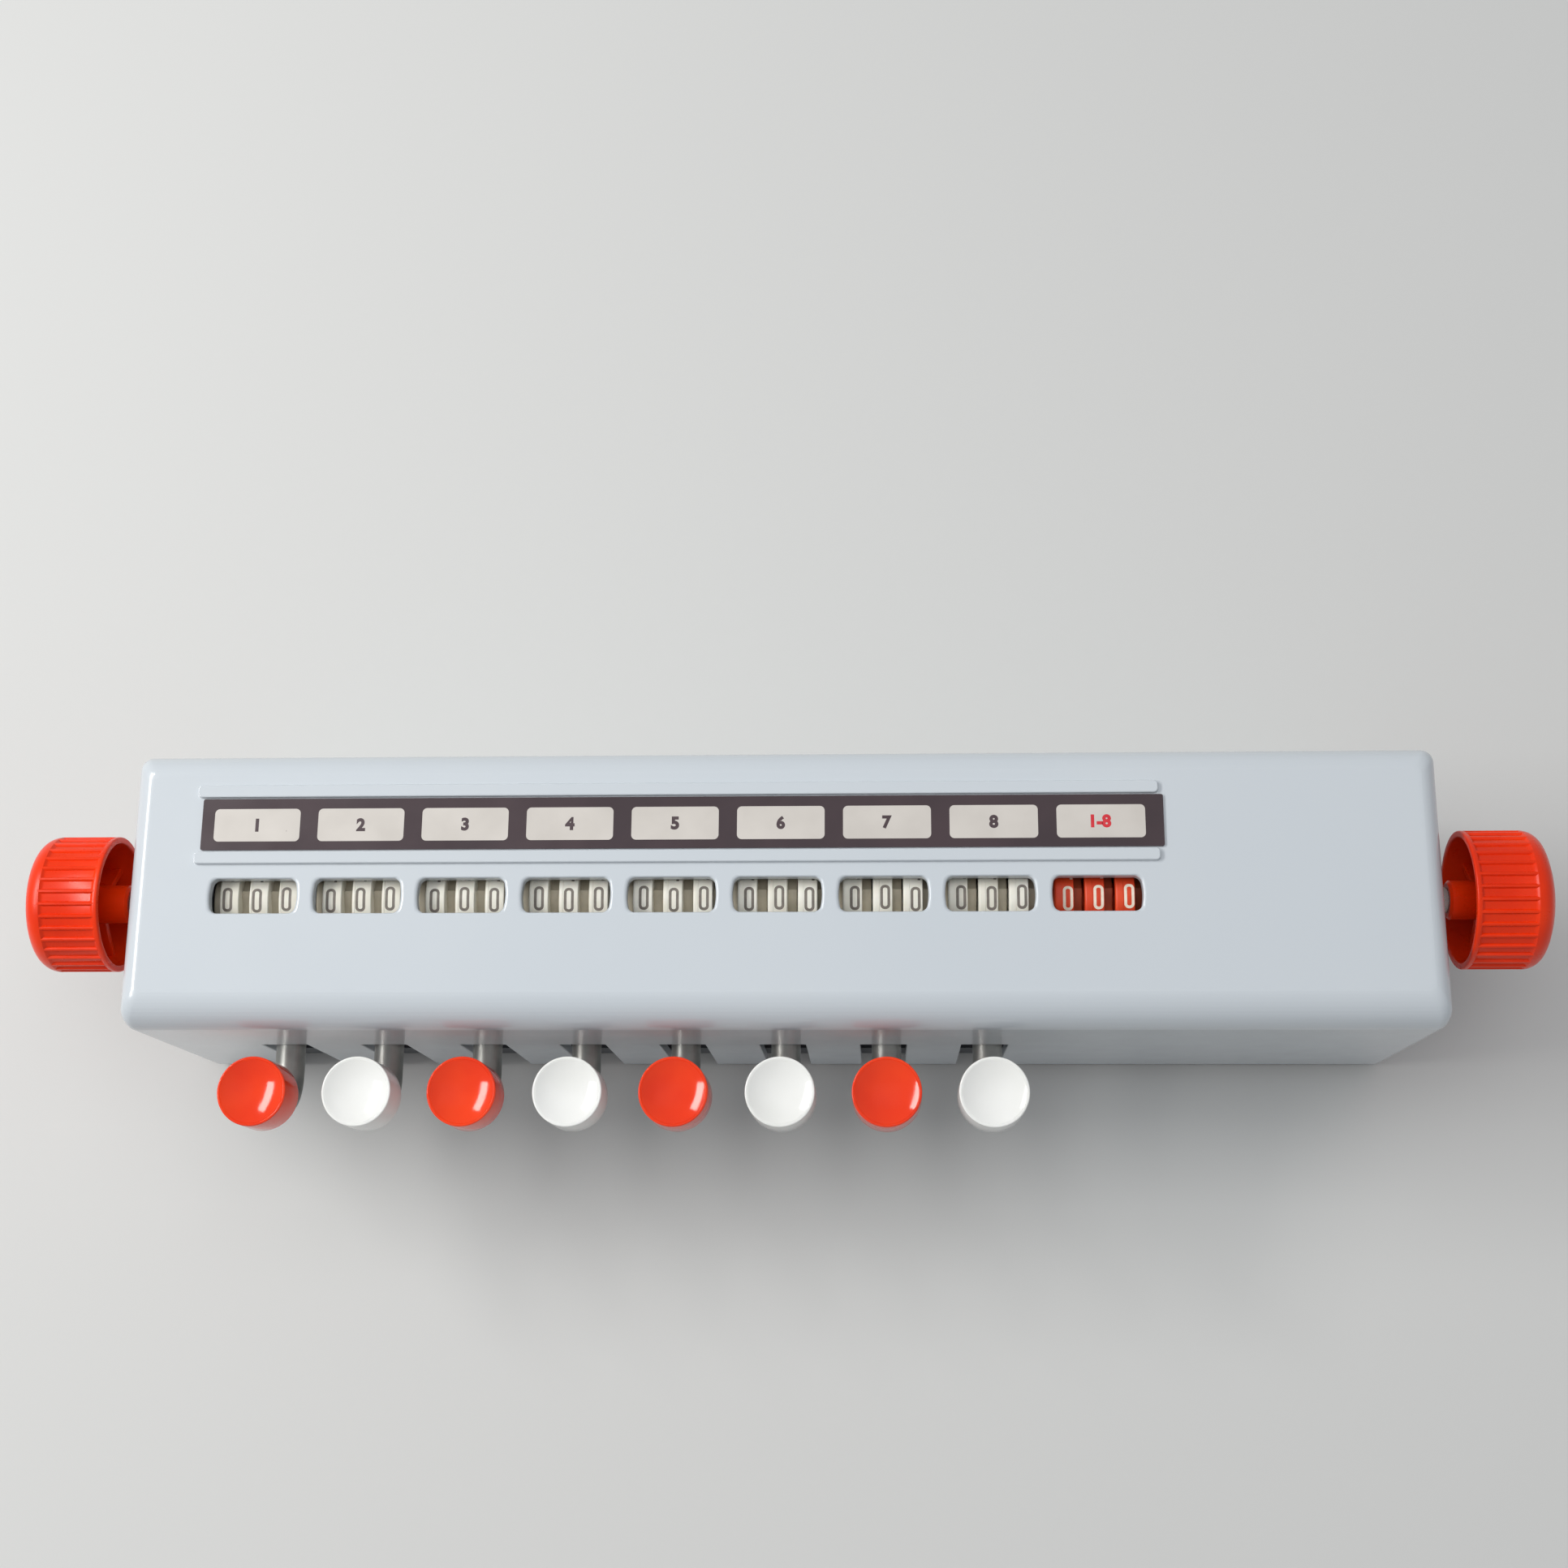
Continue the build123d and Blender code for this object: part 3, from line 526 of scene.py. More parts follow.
def coverShell():
    v = coverValues
    face = counterValues["faceZ"]
    outer = (v["outerFolds"], v["cornerRadius"], v["faceCorner"])
    inner = (v["innerFolds"], v["innerCorner"], v["innerCorner"])
    spare = v["cutterSpare"]
    solid = bmesh.new()
    loops = []
    for i in range(4):
        angle = math.radians(30 * i)
        shrink = v["lipRadius"] * (1 - math.sin(angle))
        rise = v["lipRadius"] * (1 - math.cos(angle))
        loops.append(caseLoop(v["bottomZ"] + rise, 0.0, *outer, shrink))
    loops += [caseLoop(z, 0.0, *outer) for z in foldHeights(0.0, v["outerFolds"])]
    stackLoops(solid, loops)
    cavity = bmesh.new()
    loops = [caseLoop(v["bottomZ"] - 2 * spare, v["wall"], *inner)]
    loops += [caseLoop(z, v["wall"], *inner) for z in foldHeights(v["wall"], v["innerFolds"])]
    stackLoops(cavity, loops)
    holes = bmesh.new()
    for x in counterXs:
        loops = [windowLoop(x, 0, 0, face - v["wall"] - spare)]
        for out, up in rollOver(1.0):
            z = face - v["windowRoll"] * (1 - up)
            loops.append(windowLoop(x, out * v["windowRollX"], out * v["windowRollY"], z))
        loops.append(windowLoop(x, v["windowRollX"] * 0.9, v["windowRollY"] * 0.9, face + spare))
        stackLoops(holes, loops)
    front = counterValues["caseY"] - v["depth"] / 2
    for x in counterXs[: counterValues["keys"]]:
        loops = [slotLoop(x, v["slotRoll"] * 0.9, front - spare)]
        for out, up in reversed(rollOver(v["slotRoll"], 4)):
            loops.append(slotLoop(x, out, front + v["slotRoll"] - up))
        loops.append(slotLoop(x, 0, front + v["wall"] + spare))
        stackLoops(holes, loops)
    for side in (-1, 1):
        low, high = side * (v["length"] / 2 - v["wall"] - spare), side * (v["length"] / 2 + spare)
        place = axisX(counterValues["shaftY"], counterValues["shaftZ"])
        turnProfile(holes, [(0, low), (v["bushHole"], low), (v["bushHole"], high), (0, high)], 64, place)
    shell = looseObject(meshFrom(solid, "coverSolid"))
    tools = [looseObject(meshFrom(cavity, "coverCavity")), looseObject(meshFrom(holes, "coverHoles"))]
    for tool in tools:
        cut = shell.modifiers.new("carve", "BOOLEAN")
        cut.operation = "DIFFERENCE"
        cut.solver = "EXACT"
        cut.object = tool
    carved = bakedMesh(shell, "coverCarved")
    discard(shell, *tools)
    bm = bmesh.new()
    bm.from_mesh(carved)
    for x in (-v["bossX"], v["bossX"]):
        for y in v["bossYs"]:
            addBoss(bm, x, y)
    for side in (-1, 1):
        addRail(bm, side)
    return meshFrom(bm, "coverShell")


# Where a point of a turned form goes, for an axis along X or along Z
def axisX(y, z):
    return lambda out, turn, along: Vector((along, y + out * math.cos(turn), z + out * math.sin(turn))) * mm


def axisZ(x, y):
    return lambda out, turn, along: Vector((x + out * math.cos(turn), y + out * math.sin(turn), along)) * mm


def addBoss(bm, x, y):
    v = coverValues
    profile = [(0, v["screwTopZ"]), (v["screwHole"], v["screwTopZ"]), (v["screwHole"], v["bossFloorZ"])]
    profile += [(v["bossRadius"], v["bossFloorZ"]), (v["bossRadius"], v["bossTopZ"] - v["bossEdge"])]
    profile += [(v["bossRadius"] - v["bossEdge"], v["bossTopZ"]), (0, v["bossTopZ"])]
    turnProfile(bm, profile, 40, axisZ(x, y))
    side = math.copysign(1, x)
    inner, outer = x + side * (v["bossRadius"] - 0.6), side * (v["length"] / 2 - v["wall"] / 2)
    low, high = sorted((inner, outer))
    half = v["ribWidth"] / 2
    loops = []
    for z in (v["bossFloorZ"], v["bossTopZ"]):
        corners = ((low, y - half), (high, y - half), (high, y + half), (low, y + half))
        loops.append([Vector((a, b, z)) * mm for a, b in corners])
    stackLoops(bm, loops)


def addRail(bm, side):
    v = railValues
    face = counterValues["faceZ"]
    levels = [(v["footRadius"] + 0.02, -0.3)]
    for i in range(5):
        angle = math.radians(22.5 * i)
        levels.append((v["footRadius"] * (1 - math.sin(angle)), v["footRadius"] * (1 - math.cos(angle))))
    for i in range(6):
        angle = math.radians(18 * i)
        shrink = v["topRadius"] * (1 - math.cos(angle))
        levels.append((-shrink, v["height"] - v["topRadius"] * (1 - math.sin(angle))))
    centre = (v["centreX"], v["centreY"] + side * v["spacing"] / 2)
    loops = []
    for out, up in levels:
        loops.append(
            roundedLoop(
                v["length"] / 2 + out, v["width"] / 2 + out, v["endRadius"] + out, 8, centre,
                lambda a, b: Vector((a, b, face + up)) * mm,
            )
        )
    stackLoops(bm, loops)


cover = addPiece("coverShell", coverShell(), "case", ["top_cover"], 30)
wear(cover, finishes["caseEnamel"])
evenNormals = cover.modifiers.new("evenNormals", "WEIGHTED_NORMAL")
evenNormals.keep_sharp = True
evenNormals.weight = 80
print("cover made:", len(cover.data.polygons), "faces")


# Label strip: the film from the solid, with nine pale fields and plain numbers

labelValues = {
    "fields": 9,
    "firstX": -120.1,
    "pitch": 24.2,
    "centreY": 25.3,
    "width": 20.0,
    "height": 7.7,
    "corner": 1.1,
    "cornerSteps": 7,
    "thickness": 0.04,
    "textHeight": 3.1,
    "textBold": 0.23,
    "textLift": 0.015,
    "texts": ("1", "2", "3", "4", "5", "6", "7", "8", "1-8"),
}


def fieldTree():
    inputs = {"Count": "Int", "Pitch": "Float", "Width": "Float", "Height": "Float", "Corner": "Float"}
    inputs.update({"Thickness": "Float", "Start": "Vector", "Material": "Material"})
    tree, source, output = newTree("labelFields", inputs)
    take = source.outputs
    outline = put(tree, "GeometryNodeCurvePrimitiveQuadrilateral", {"Width": take["Width"], "Height": take["Height"]})
    sockets = {"Curve": outline.outputs[0], "Radius": take["Corner"], "Count": labelValues["cornerSteps"]}
    rounded = put(tree, "GeometryNodeFilletCurve", sockets, mode="POLY")
    flat = put(tree, "GeometryNodeFillCurve", {"Curve": rounded.outputs[0]}, mode="NGONS")
    thick = put(tree, "GeometryNodeExtrudeMesh", {"Mesh": flat.outputs[0], "Offset Scale": take["Thickness"]})
    step = put(tree, "ShaderNodeCombineXYZ", {"X": take["Pitch"]})
    row = put(tree, "GeometryNodeMeshLine", {"Count": take["Count"], "Start Location": take["Start"]}, mode="OFFSET")
    tree.links.new(step.outputs[0], row.inputs["Offset"])
    many = put(tree, "GeometryNodeInstanceOnPoints", {"Points": row.outputs[0], "Instance": thick.outputs[0]})
    finishTree(tree, source, output, many.outputs[0])
    return tree


def labelFields():
    v = labelValues
    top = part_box("label_strip")[1].z
    values = {
        "Count": v["fields"],
        "Pitch": v["pitch"] * mm,
        "Width": v["width"] * mm,
        "Height": v["height"] * mm,
        "Corner": v["corner"] * mm,
        "Thickness": v["thickness"] * mm,
        "Start": (v["firstX"] * mm, v["centreY"] * mm, top),
        "Material": finishes["fieldFilm"],
    }
    return grow(bpy.data.meshes.new("fieldSeed"), fieldTree(), values, "labelFields")


def textMesh(text, height, bold):
    curve = bpy.data.curves.new("labelText", "FONT")
    curve.body = text
    curve.align_x = "CENTER"
    curve.size = 1.0
    curve.offset = bold / height * 0.7
    curve.resolution_u = 6
    holder = bpy.data.objects.new("labelTextHolder", curve)
    scene.collection.objects.link(holder)
    mesh = bakedMesh(holder, "labelTextMesh")
    discard(holder)
    ys = [vertex.co.y for vertex in mesh.vertices]
    xs = [vertex.co.x for vertex in mesh.vertices]
    tall = max(ys) - min(ys)
    return mesh, height / tall, (max(xs) + min(xs)) / 2, (max(ys) + min(ys)) / 2


def labelNumbers():
    v = labelValues
    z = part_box("label_strip")[1].z + (v["thickness"] + v["textLift"]) * mm
    bm = bmesh.new()
    for i, text in enumerate(v["texts"]):
        mesh, scale, middleX, middleY = textMesh(text, v["textHeight"] * mm, v["textBold"] * mm)
        place = Matrix.Translation(((v["firstX"] + i * v["pitch"]) * mm, v["centreY"] * mm, z))
        mesh.transform(place @ Matrix.Scale(scale, 4) @ Matrix.Translation((-middleX, -middleY, 0)))
        start = len(bm.faces)
        bm.from_mesh(mesh)
        bm.faces.ensure_lookup_table()
        for face in bm.faces[start:]:
            face.material_index = 1 if i == v["fields"] - 1 else 0
            if face.normal.z < 0:
                face.normal_flip()
    return meshFrom(bm, "labelNumbers")


fields = addPiece("labelFields", labelFields(), "case")
wear(fields, finishes["fieldFilm"])
numbers = addPiece("labelNumbers", labelNumbers(), "case")
wear(numbers, finishes["inkBrown"], finishes["inkRed"])
dress("label_strip", finishes["stripFilm"])
print("labels made")


# Number wheels: a drum with a raised left band, a ratchet collar in a darker copy of the drum colour as painted
# shade, and the digits printed round it

wheelValues = {
    "drumRadius": 11.5,
    "drumWidth": 4.5,
    "drumEdge": 0.25,
    "drumLeftEdge": 0.6,
    "bandDrop": 0.07,
    "bandMargin": 0.25,
    "boreRadius": 3.05,
    "recessRadius": 10.4,
    "recessDepth": 0.5,
    "collarRadius": 9.25,
    "collarStep": 1.1,
    "collarEdge": 0.12,
    "collarWidth": 2.1,
    "teeth": 10,
    "toothStepDeg": 3.0,
    "toothTurnDeg": 11.0,
    "sideHubRadius": 5.0,
    "sideCollarRadius": 9.0,
    "steps": 120,
    "digitWidth": 2.3,
    "digitHeight": 5.6,
    "stroke": 0.64,
    "digitRadius": 0.75,
    "digitStep": 0.45,
    "digitLift": 0.015,
    "zeroTiltDeg": -7.0,
    "slackDeg": (0.6, -0.5, 1.1, -0.9, 0.3, 1.4, -1.2),
    "shiftFirst": -0.35,
    "shiftLast": 0.9,
    "turnSign": -1,
}
digitStrokes = {  # centre lines in a cell one wide and one tall; True closes a line
    "0": [([(0, 0), (1, 0), (1, 1), (0, 1)], True)],
    "1": [([(0.1, 0.8), (0.55, 1), (0.55, 0)], False)],
    "2": [([(0, 0.8), (0, 1), (1, 1), (1, 0.6), (0, 0), (1.05, 0)], False)],
    "3": [
        ([(0, 0.84), (0, 1), (1, 1), (1, 0.54), (0.35, 0.54)], False),
        ([(0.35, 0.54), (1, 0.54), (1, 0), (0, 0), (0, 0.16)], False),
    ],
    "4": [([(0.75, 0), (0.75, 1), (0, 0.28), (1.1, 0.28)], False)],
    "5": [([(0.98, 1), (0.04, 1), (0, 0.58), (1, 0.58), (1, 0), (0, 0), (0, 0.16)], False)],
    "6": [([(0, 0), (1, 0), (1, 0.58), (0, 0.58)], True), ([(0, 0.3), (0, 1), (0.7, 1)], False)],
    "7": [([(0, 1), (1, 1), (0.35, 0)], False)],
    "8": [([(0, 0), (1, 0), (1, 0.54), (0, 0.54)], True), ([(0.06, 0.54), (0.94, 0.54), (0.94, 1), (0.06, 1)], True)],
    "9": [([(0, 0.42), (1, 0.42), (1, 1), (0, 1)], True), ([(1, 0.7), (1, 0)], False)],
}


# Rounds the corners of a line and divides its straight runs, so that it can follow a drum
def softenLine(points, closed, radius, longest, nearest=0.004):
    count = len(points)
    soft = []
    for i, here in enumerate(points):
        if not closed and i in (0, count - 1):
            soft.append(Vector(here))
            continue
        here = Vector(here)
        back = Vector(points[i - 1]) - here
        ahead = Vector(points[(i + 1) % count]) - here
        half = back.angle(ahead) / 2
        reach = min(radius / math.tan(half), back.length * 0.5, ahead.length * 0.5)
        bend = reach * math.tan(half)
        start = here + back.normalized() * reach
        centre = here + (back.normalized() + ahead.normalized()).normalized() * (bend / math.sin(half))
        fromCentre = start - centre
        sweep = (math.pi - 2 * half) * (-1 if back.cross(ahead) > 0 else 1)
        for k in range(7):
            turn = sweep * k / 6
            c, s = math.cos(turn), math.sin(turn)
            soft.append(centre + Vector((fromCentre.x * c - fromCentre.y * s, fromCentre.x * s + fromCentre.y * c)))
    runs = list(zip(soft, soft[1:] + soft[:1])) if closed else list(zip(soft, soft[1:]))
    fine = []
    for start, end in runs:
        pieces = max(1, math.ceil((end - start).length / longest))
        fine += [start.lerp(end, k / pieces) for k in range(pieces)]
    if not closed:
        fine.append(soft[-1])
    kept = [fine[0]]
    for point in fine[1:]:
        if (point - kept[-1]).length > nearest:
            kept.append(point)
    if closed and (kept[0] - kept[-1]).length < nearest:
        kept.pop()
    return kept


def inkLine(bm, points, closed, width):
    count = len(points)
    pairs = []
    for i, here in enumerate(points):
        back = points[i - 1] if (closed or i) else here
        ahead = points[(i + 1) % count] if (closed or i < count - 1) else here
        first = (here - back).normalized() if (here - back).length else (ahead - here).normalized()
        second = (ahead - here).normalized() if (ahead - here).length else first
        along = (first + second).normalized()
        across = Vector((-along.y, along.x)) * (width / 2 / max(along.dot(second), 0.5))
        pairs.append([bm.verts.new((*(here + side * across), 0)) for side in (-1, 1)])
    runs = list(zip(pairs, pairs[1:] + pairs[:1])) if closed else list(zip(pairs, pairs[1:]))
    for (low, high), (lowNext, highNext) in runs:
        bm.faces.new((low, lowNext, highNext, high))


# Ten digits laid flat one under the other, a tenth of the way round apart
def flatDigits():
    v = wheelValues
    step = 2 * math.pi * v["drumRadius"] / 10
    wide, tall = v["digitWidth"] - v["stroke"], v["digitHeight"] - v["stroke"]
    bm = bmesh.new()
    for value, lines in digitStrokes.items():
        for cells, closed in lines:
            points = []
            for u, w in cells:
                y = (w - 0.5) * tall + v["turnSign"] * int(value) * step
                points.append(((u - 0.5) * wide, y))
            line = softenLine(points, closed, v["digitRadius"], v["digitStep"])
            inkLine(bm, line, closed, v["stroke"])
    bmesh.ops.scale(bm, vec=(mm, mm, mm), verts=bm.verts)
    return meshFrom(bm, "flatDigits")


def digitTree():
    inputs = {"Radius": "Float", "Turn": "Float", "Centre": "Vector", "Material": "Material"}
    tree, source, output = newTree("drumDigits", inputs)
    take = source.outputs
    flat = put(tree, "ShaderNodeSeparateXYZ", {0: put(tree, "GeometryNodeInputPosition").outputs[0]})
    angle = maths(tree, "DIVIDE", flat.outputs["Y"], take["Radius"])
    turned = maths(tree, "ADD", angle, take["Turn"])
    sine = maths(tree, "SINE", turned)
    cosine = maths(tree, "COSINE", turned)
    y = maths(tree, "MULTIPLY", sine, take["Radius"])
    z = maths(tree, "MULTIPLY", cosine, take["Radius"])
    round_ = put(tree, "ShaderNodeCombineXYZ", {"X": flat.outputs["X"], "Y": y, "Z": z})
    placed = put(tree, "ShaderNodeVectorMath", {0: round_.outputs[0], 1: take["Centre"]}, operation="ADD")
    moved = put(tree, "GeometryNodeSetPosition", {"Geometry": take["Geometry"], "Position": placed.outputs[0]})
    finishTree(tree, source, output, moved.outputs[0])
    return tree


def addCollar(bm, lowX, highX, y, z):
    v = wheelValues
    outline = []
    for i in range(v["teeth"]):
        for angle, radius in (
            (i * 360 / v["teeth"], v["collarRadius"]),
            ((i + 1) * 360 / v["teeth"] - v["toothStepDeg"], v["collarRadius"] - v["collarStep"]),
        ):
            outline.append((math.radians(angle + v["toothTurnDeg"]), radius))
    place = axisX(y, z)
    rings = []
    edge = v["collarEdge"]
    for less, x in ((0, lowX), (0, highX - 0.15), (edge, highX), (None, highX), (None, lowX)):
        rings.append([])
        for angle, full in outline:
            size = v["boreRadius"] if less is None else full - less
            rings[-1].append(bm.verts.new(place(size, angle, x)))
    joinRings(bm, zip(rings, rings[1:] + rings[:1]), 1)


def addWheel(number, group, place, ring, tree):
    v = wheelValues
    node = "wheel_" + group + "_" + place
    low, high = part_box(node)
    hubRight = v["collarWidth"]
    right = high.x / mm - hubRight
    middle = right - v["drumWidth"] / 2
    left = middle - v["drumWidth"] / 2
    y, z = counterValues["shaftY"], counterValues["shaftZ"]
    shift = v["shiftFirst"] + (v["shiftLast"] - v["shiftFirst"]) * number / (counterValues["count"] - 1)
    bandEnd = middle + shift - v["digitWidth"] / 2 - v["bandMargin"]
    radius, edge, soft = v["drumRadius"], v["drumEdge"], v["drumLeftEdge"]
    profile = [(v["boreRadius"], left), (v["sideHubRadius"], left), (v["sideHubRadius"], left + v["recessDepth"])]
    profile += [(v["recessRadius"], left + v["recessDepth"]), (v["recessRadius"], left)]
    profile += edgePoints((left + soft, radius - soft), soft, 180, 90, 6)
    profile += [(radius, bandEnd), (radius - v["bandDrop"], bandEnd + 0.06)]
    profile += edgePoints((right - edge, radius - v["bandDrop"] - edge), edge, 90, 0, 4)
    profile += [(v["boreRadius"], right)]
    bm = bmesh.new()
    turnProfile(bm, profile, v["steps"], axisX(y, z), closed=True)
    addCollar(bm, right - 0.2, high.x / mm, y, z)
    if place == "hundreds":
        side, wide = low.x / mm, v["sideCollarRadius"]
        collar = [(v["boreRadius"], side), (wide - 0.2, side), (wide, side + 0.2)]
        collar += [(wide, left + v["recessDepth"] + 0.1), (v["boreRadius"], left + v["recessDepth"] + 0.1)]
        turnProfile(bm, collar, 96, axisX(y, z), closed=True, slot=1)
    slack = v["slackDeg"][(number * 3 + ("hundreds", "tens", "units").index(place)) % len(v["slackDeg"])]
    values = {
        "Radius": (radius - v["bandDrop"] + v["digitLift"]) * mm,
        "Turn": math.radians(v["zeroTiltDeg"] + slack),
        "Centre": ((middle + shift) * mm, y * mm, z * mm),
        "Material": finishes["inkGrey"],
    }
    digits = grow(ring.copy(), tree, values, node + "Ink")
    start = len(bm.faces)
    bm.from_mesh(digits)
    bm.faces.ensure_lookup_table()
    for face in bm.faces[start:]:
        face.material_index = 2
    bm.normal_update()
    axis = Vector((0, y * mm, z * mm))
    for face in bm.faces[start:]:
        out = face.calc_center_median() - axis
        if face.normal.dot(Vector((0, out.y, out.z))) < 0:
            face.normal_flip()
    name = "drum" + group.capitalize() + place.capitalize()
    wheel = addPiece(name, meshFrom(bm, name), node, [node], 28)
    # The collar slot takes the darker collar finish: painted shade of the recess between drums
    colours = ("drumRed", "collarShadedRed", "inkWhite") if group == "total" else ("drumIvory", "collarShadedIvory", "inkGrey")
    wear(wheel, *[finishes[colour] for colour in colours])


digitRing = flatDigits()
wrapTree = digitTree()
for number in range(counterValues["count"]):
    group = str(number + 1) if number < counterValues["keys"] else "total"
    for placeName in ("hundreds", "tens", "units"):
        addWheel(number, group, placeName, digitRing, wrapTree)
print("number wheels made")


# Key caps: turned, with a dish in the top, a thin rim and a socket below

capValues = {
    "radius": 8.0,
    "draft": 0.12,
    "edge": 0.6,
    "rim": 0.7,
    "rimRound": 0.26,
    "dish": 1.7,
    "socketRadius": 3.03,
    "socketDepth": 5.0,
    "steps": 96,
}


def keyCap(node):
    v = capValues
    low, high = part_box(node)
    bottom, top = low.z / mm, high.z / mm
    x, y = (low.x + high.x) / 2 / mm, (low.y + high.y) / 2 / mm
    radius = v["radius"]
    dishRadius = radius - v["rim"]
    ball = (dishRadius**2 + v["dish"] ** 2) / (2 * v["dish"])
    profile = [(0, bottom + v["socketDepth"]), (v["socketRadius"], bottom + v["socketDepth"])]
    profile += [(v["socketRadius"], bottom + 0.3), (v["socketRadius"] + 0.3, bottom)]
    profile += arcPoints((radius - v["edge"], bottom + v["edge"]), v["edge"], -90, 0, 6)
    profile += [(radius - v["draft"] * 0.5, (bottom + top) / 2)]
    outer = radius - v["draft"]
    profile += arcPoints((outer - v["rimRound"], top - v["rimRound"]), v["rimRound"], 0, 90, 6)
    profile += arcPoints((dishRadius + 0.12, top - v["rimRound"] * 0.8), v["rimRound"] * 0.8, 90, 150, 4)
    edgeAngle = math.asin((dishRadius - 0.12) / ball)
    for i in range(18):
        angle = edgeAngle * (1 - i / 17)
        profile.append((ball * math.sin(angle), top - v["dish"] + ball * (1 - math.cos(angle))))
    bm = bmesh.new()
    turnProfile(bm, profile, v["steps"], axisZ(x, y))
    return meshFrom(bm, "capMesh")


for key in range(1, counterValues["keys"] + 1):
    node = "key_cap_" + str(key)
    cap = addPiece("keyCap" + str(key), keyCap(node), "key_" + str(key), [node], 40)
    wear(cap, finishes["capRedPlastic" if key % 2 else "capWhitePlastic"])
print("key caps made")


# Reset knobs: a turned cup with hub and dome, thin ribs round it and four webs inside

knobValues = {
    "radius": 15.95,
    "valley": 15.45,
    "rimX": 156.3,
    "rimWidth": 1.2,
    "rimRound": 0.35,
    "domeX": 170.0,
    "dome": 6.7,
    "shoulder": 4.2,
    "innerRadius": 14.45,
    "floorX": 168.5,
    "hubRadius": 4.5,
    "hubX": 153.5,
    "hubEdge": 0.6,
    "boreRadius": 3.02,
    "boreX": 168.3,
    "ribs": 34,
    "ribCrest": 0.5,
    "ribFoot": 1.1,
    "webs": 4,
    "webThickness": 1.5,
    "webX": 160.8,
    "steps": 136,
}


def knobProfile():
    v = knobValues
    radius = v["radius"]
    shoulderY = radius - v["shoulder"]
    crown = (v["dome"] ** 2 + shoulderY**2 - v["shoulder"] ** 2) / (2 * (v["dome"] - v["shoulder"]))
    meet = math.degrees(math.atan2(shoulderY, crown - v["dome"]))
    profile = []
    for along, out in arcPoints((v["dome"] - crown, 0), crown, 0, meet, 12):
        profile.append((max(out, 0.0), v["domeX"] + along))
    for along, out in arcPoints((0, shoulderY), v["shoulder"], meet, 90, 8)[1:]:
        profile.append((out, v["domeX"] + along))
    profile += [(radius - 0.12, v["domeX"] - 0.22), (v["valley"] + 0.12, v["domeX"] - 0.5)]
    profile += [(v["valley"], v["domeX"] - 0.95)]
    rim = v["rimX"] + v["rimWidth"]
    profile += [(v["valley"], rim + 0.5), (v["valley"] + 0.16, rim + 0.15), (radius - 0.1, rim - 0.05)]
    profile += [(radius, rim - 0.25)]
    edge = v["rimRound"]
    profile += edgePoints((v["rimX"] + edge, radius - edge), edge, 90, 180, 5)
    inner = v["innerRadius"]
    profile += edgePoints((v["rimX"] + edge, inner + edge), edge, 180, 270, 5)
    profile += [(inner, v["floorX"] - 0.6), (inner - 0.2, v["floorX"] - 0.2), (inner - 0.6, v["floorX"])]
    profile += [(v["hubRadius"] + 0.4, v["floorX"]), (v["hubRadius"], v["floorX"] - 0.4)]
    profile += [(v["hubRadius"], v["hubX"] + v["hubEdge"]), (v["hubRadius"] - v["hubEdge"], v["hubX"])]
    profile += [(v["boreRadius"], v["hubX"]), (v["boreRadius"], v["boreX"]), (0, v["boreX"])]
    return profile


def ribMesh():
    v = knobValues
    crest, valley = v["radius"], v["valley"]
    section = []
    for offset, radius in (
        (-v["ribFoot"] / 2, valley - 0.15),
        (-v["ribFoot"] / 2, valley),
        (-v["ribCrest"] / 2 - 0.08, crest - 0.1),
        (-v["ribCrest"] / 2 + 0.05, crest),
        (v["ribCrest"] / 2 - 0.05, crest),
        (v["ribCrest"] / 2 + 0.08, crest - 0.1),
        (v["ribFoot"] / 2, valley),
        (v["ribFoot"] / 2, valley - 0.15),
    ):
        section.append((offset, radius))
    bm = bmesh.new()
    loops = []
    for x in (v["rimX"] + v["rimWidth"] - 0.4, v["domeX"] + 0.25):
        loops.append([Vector((x, offset, radius)) * mm for offset, radius in section])
    stackLoops(bm, loops)
    return meshFrom(bm, "ribMesh")


def ribTree():
    inputs = {"Count": "Int", "Centre": "Vector", "Side": "Float", "Material": "Material"}
    tree, source, output = newTree("knobRibs", inputs)
    take = source.outputs
    points = put(tree, "GeometryNodePoints", {"Count": take["Count"], "Position": take["Centre"]})
    index = put(tree, "GeometryNodeInputIndex")
    share = maths(tree, "DIVIDE", index.outputs[0], take["Count"])
    angle = maths(tree, "MULTIPLY", share, 2 * math.pi)
    turn = put(tree, "ShaderNodeCombineXYZ", {"X": angle})
    facing = put(tree, "ShaderNodeCombineXYZ", {"X": take["Side"], "Y": 1.0, "Z": 1.0})
    sockets = {"Points": points.outputs[0], "Instance": take["Geometry"], "Rotation": turn.outputs[0]}
    sockets["Scale"] = facing.outputs[0]
    many = put(tree, "GeometryNodeInstanceOnPoints", sockets)
    finishTree(tree, source, output, many.outputs[0])
    return tree


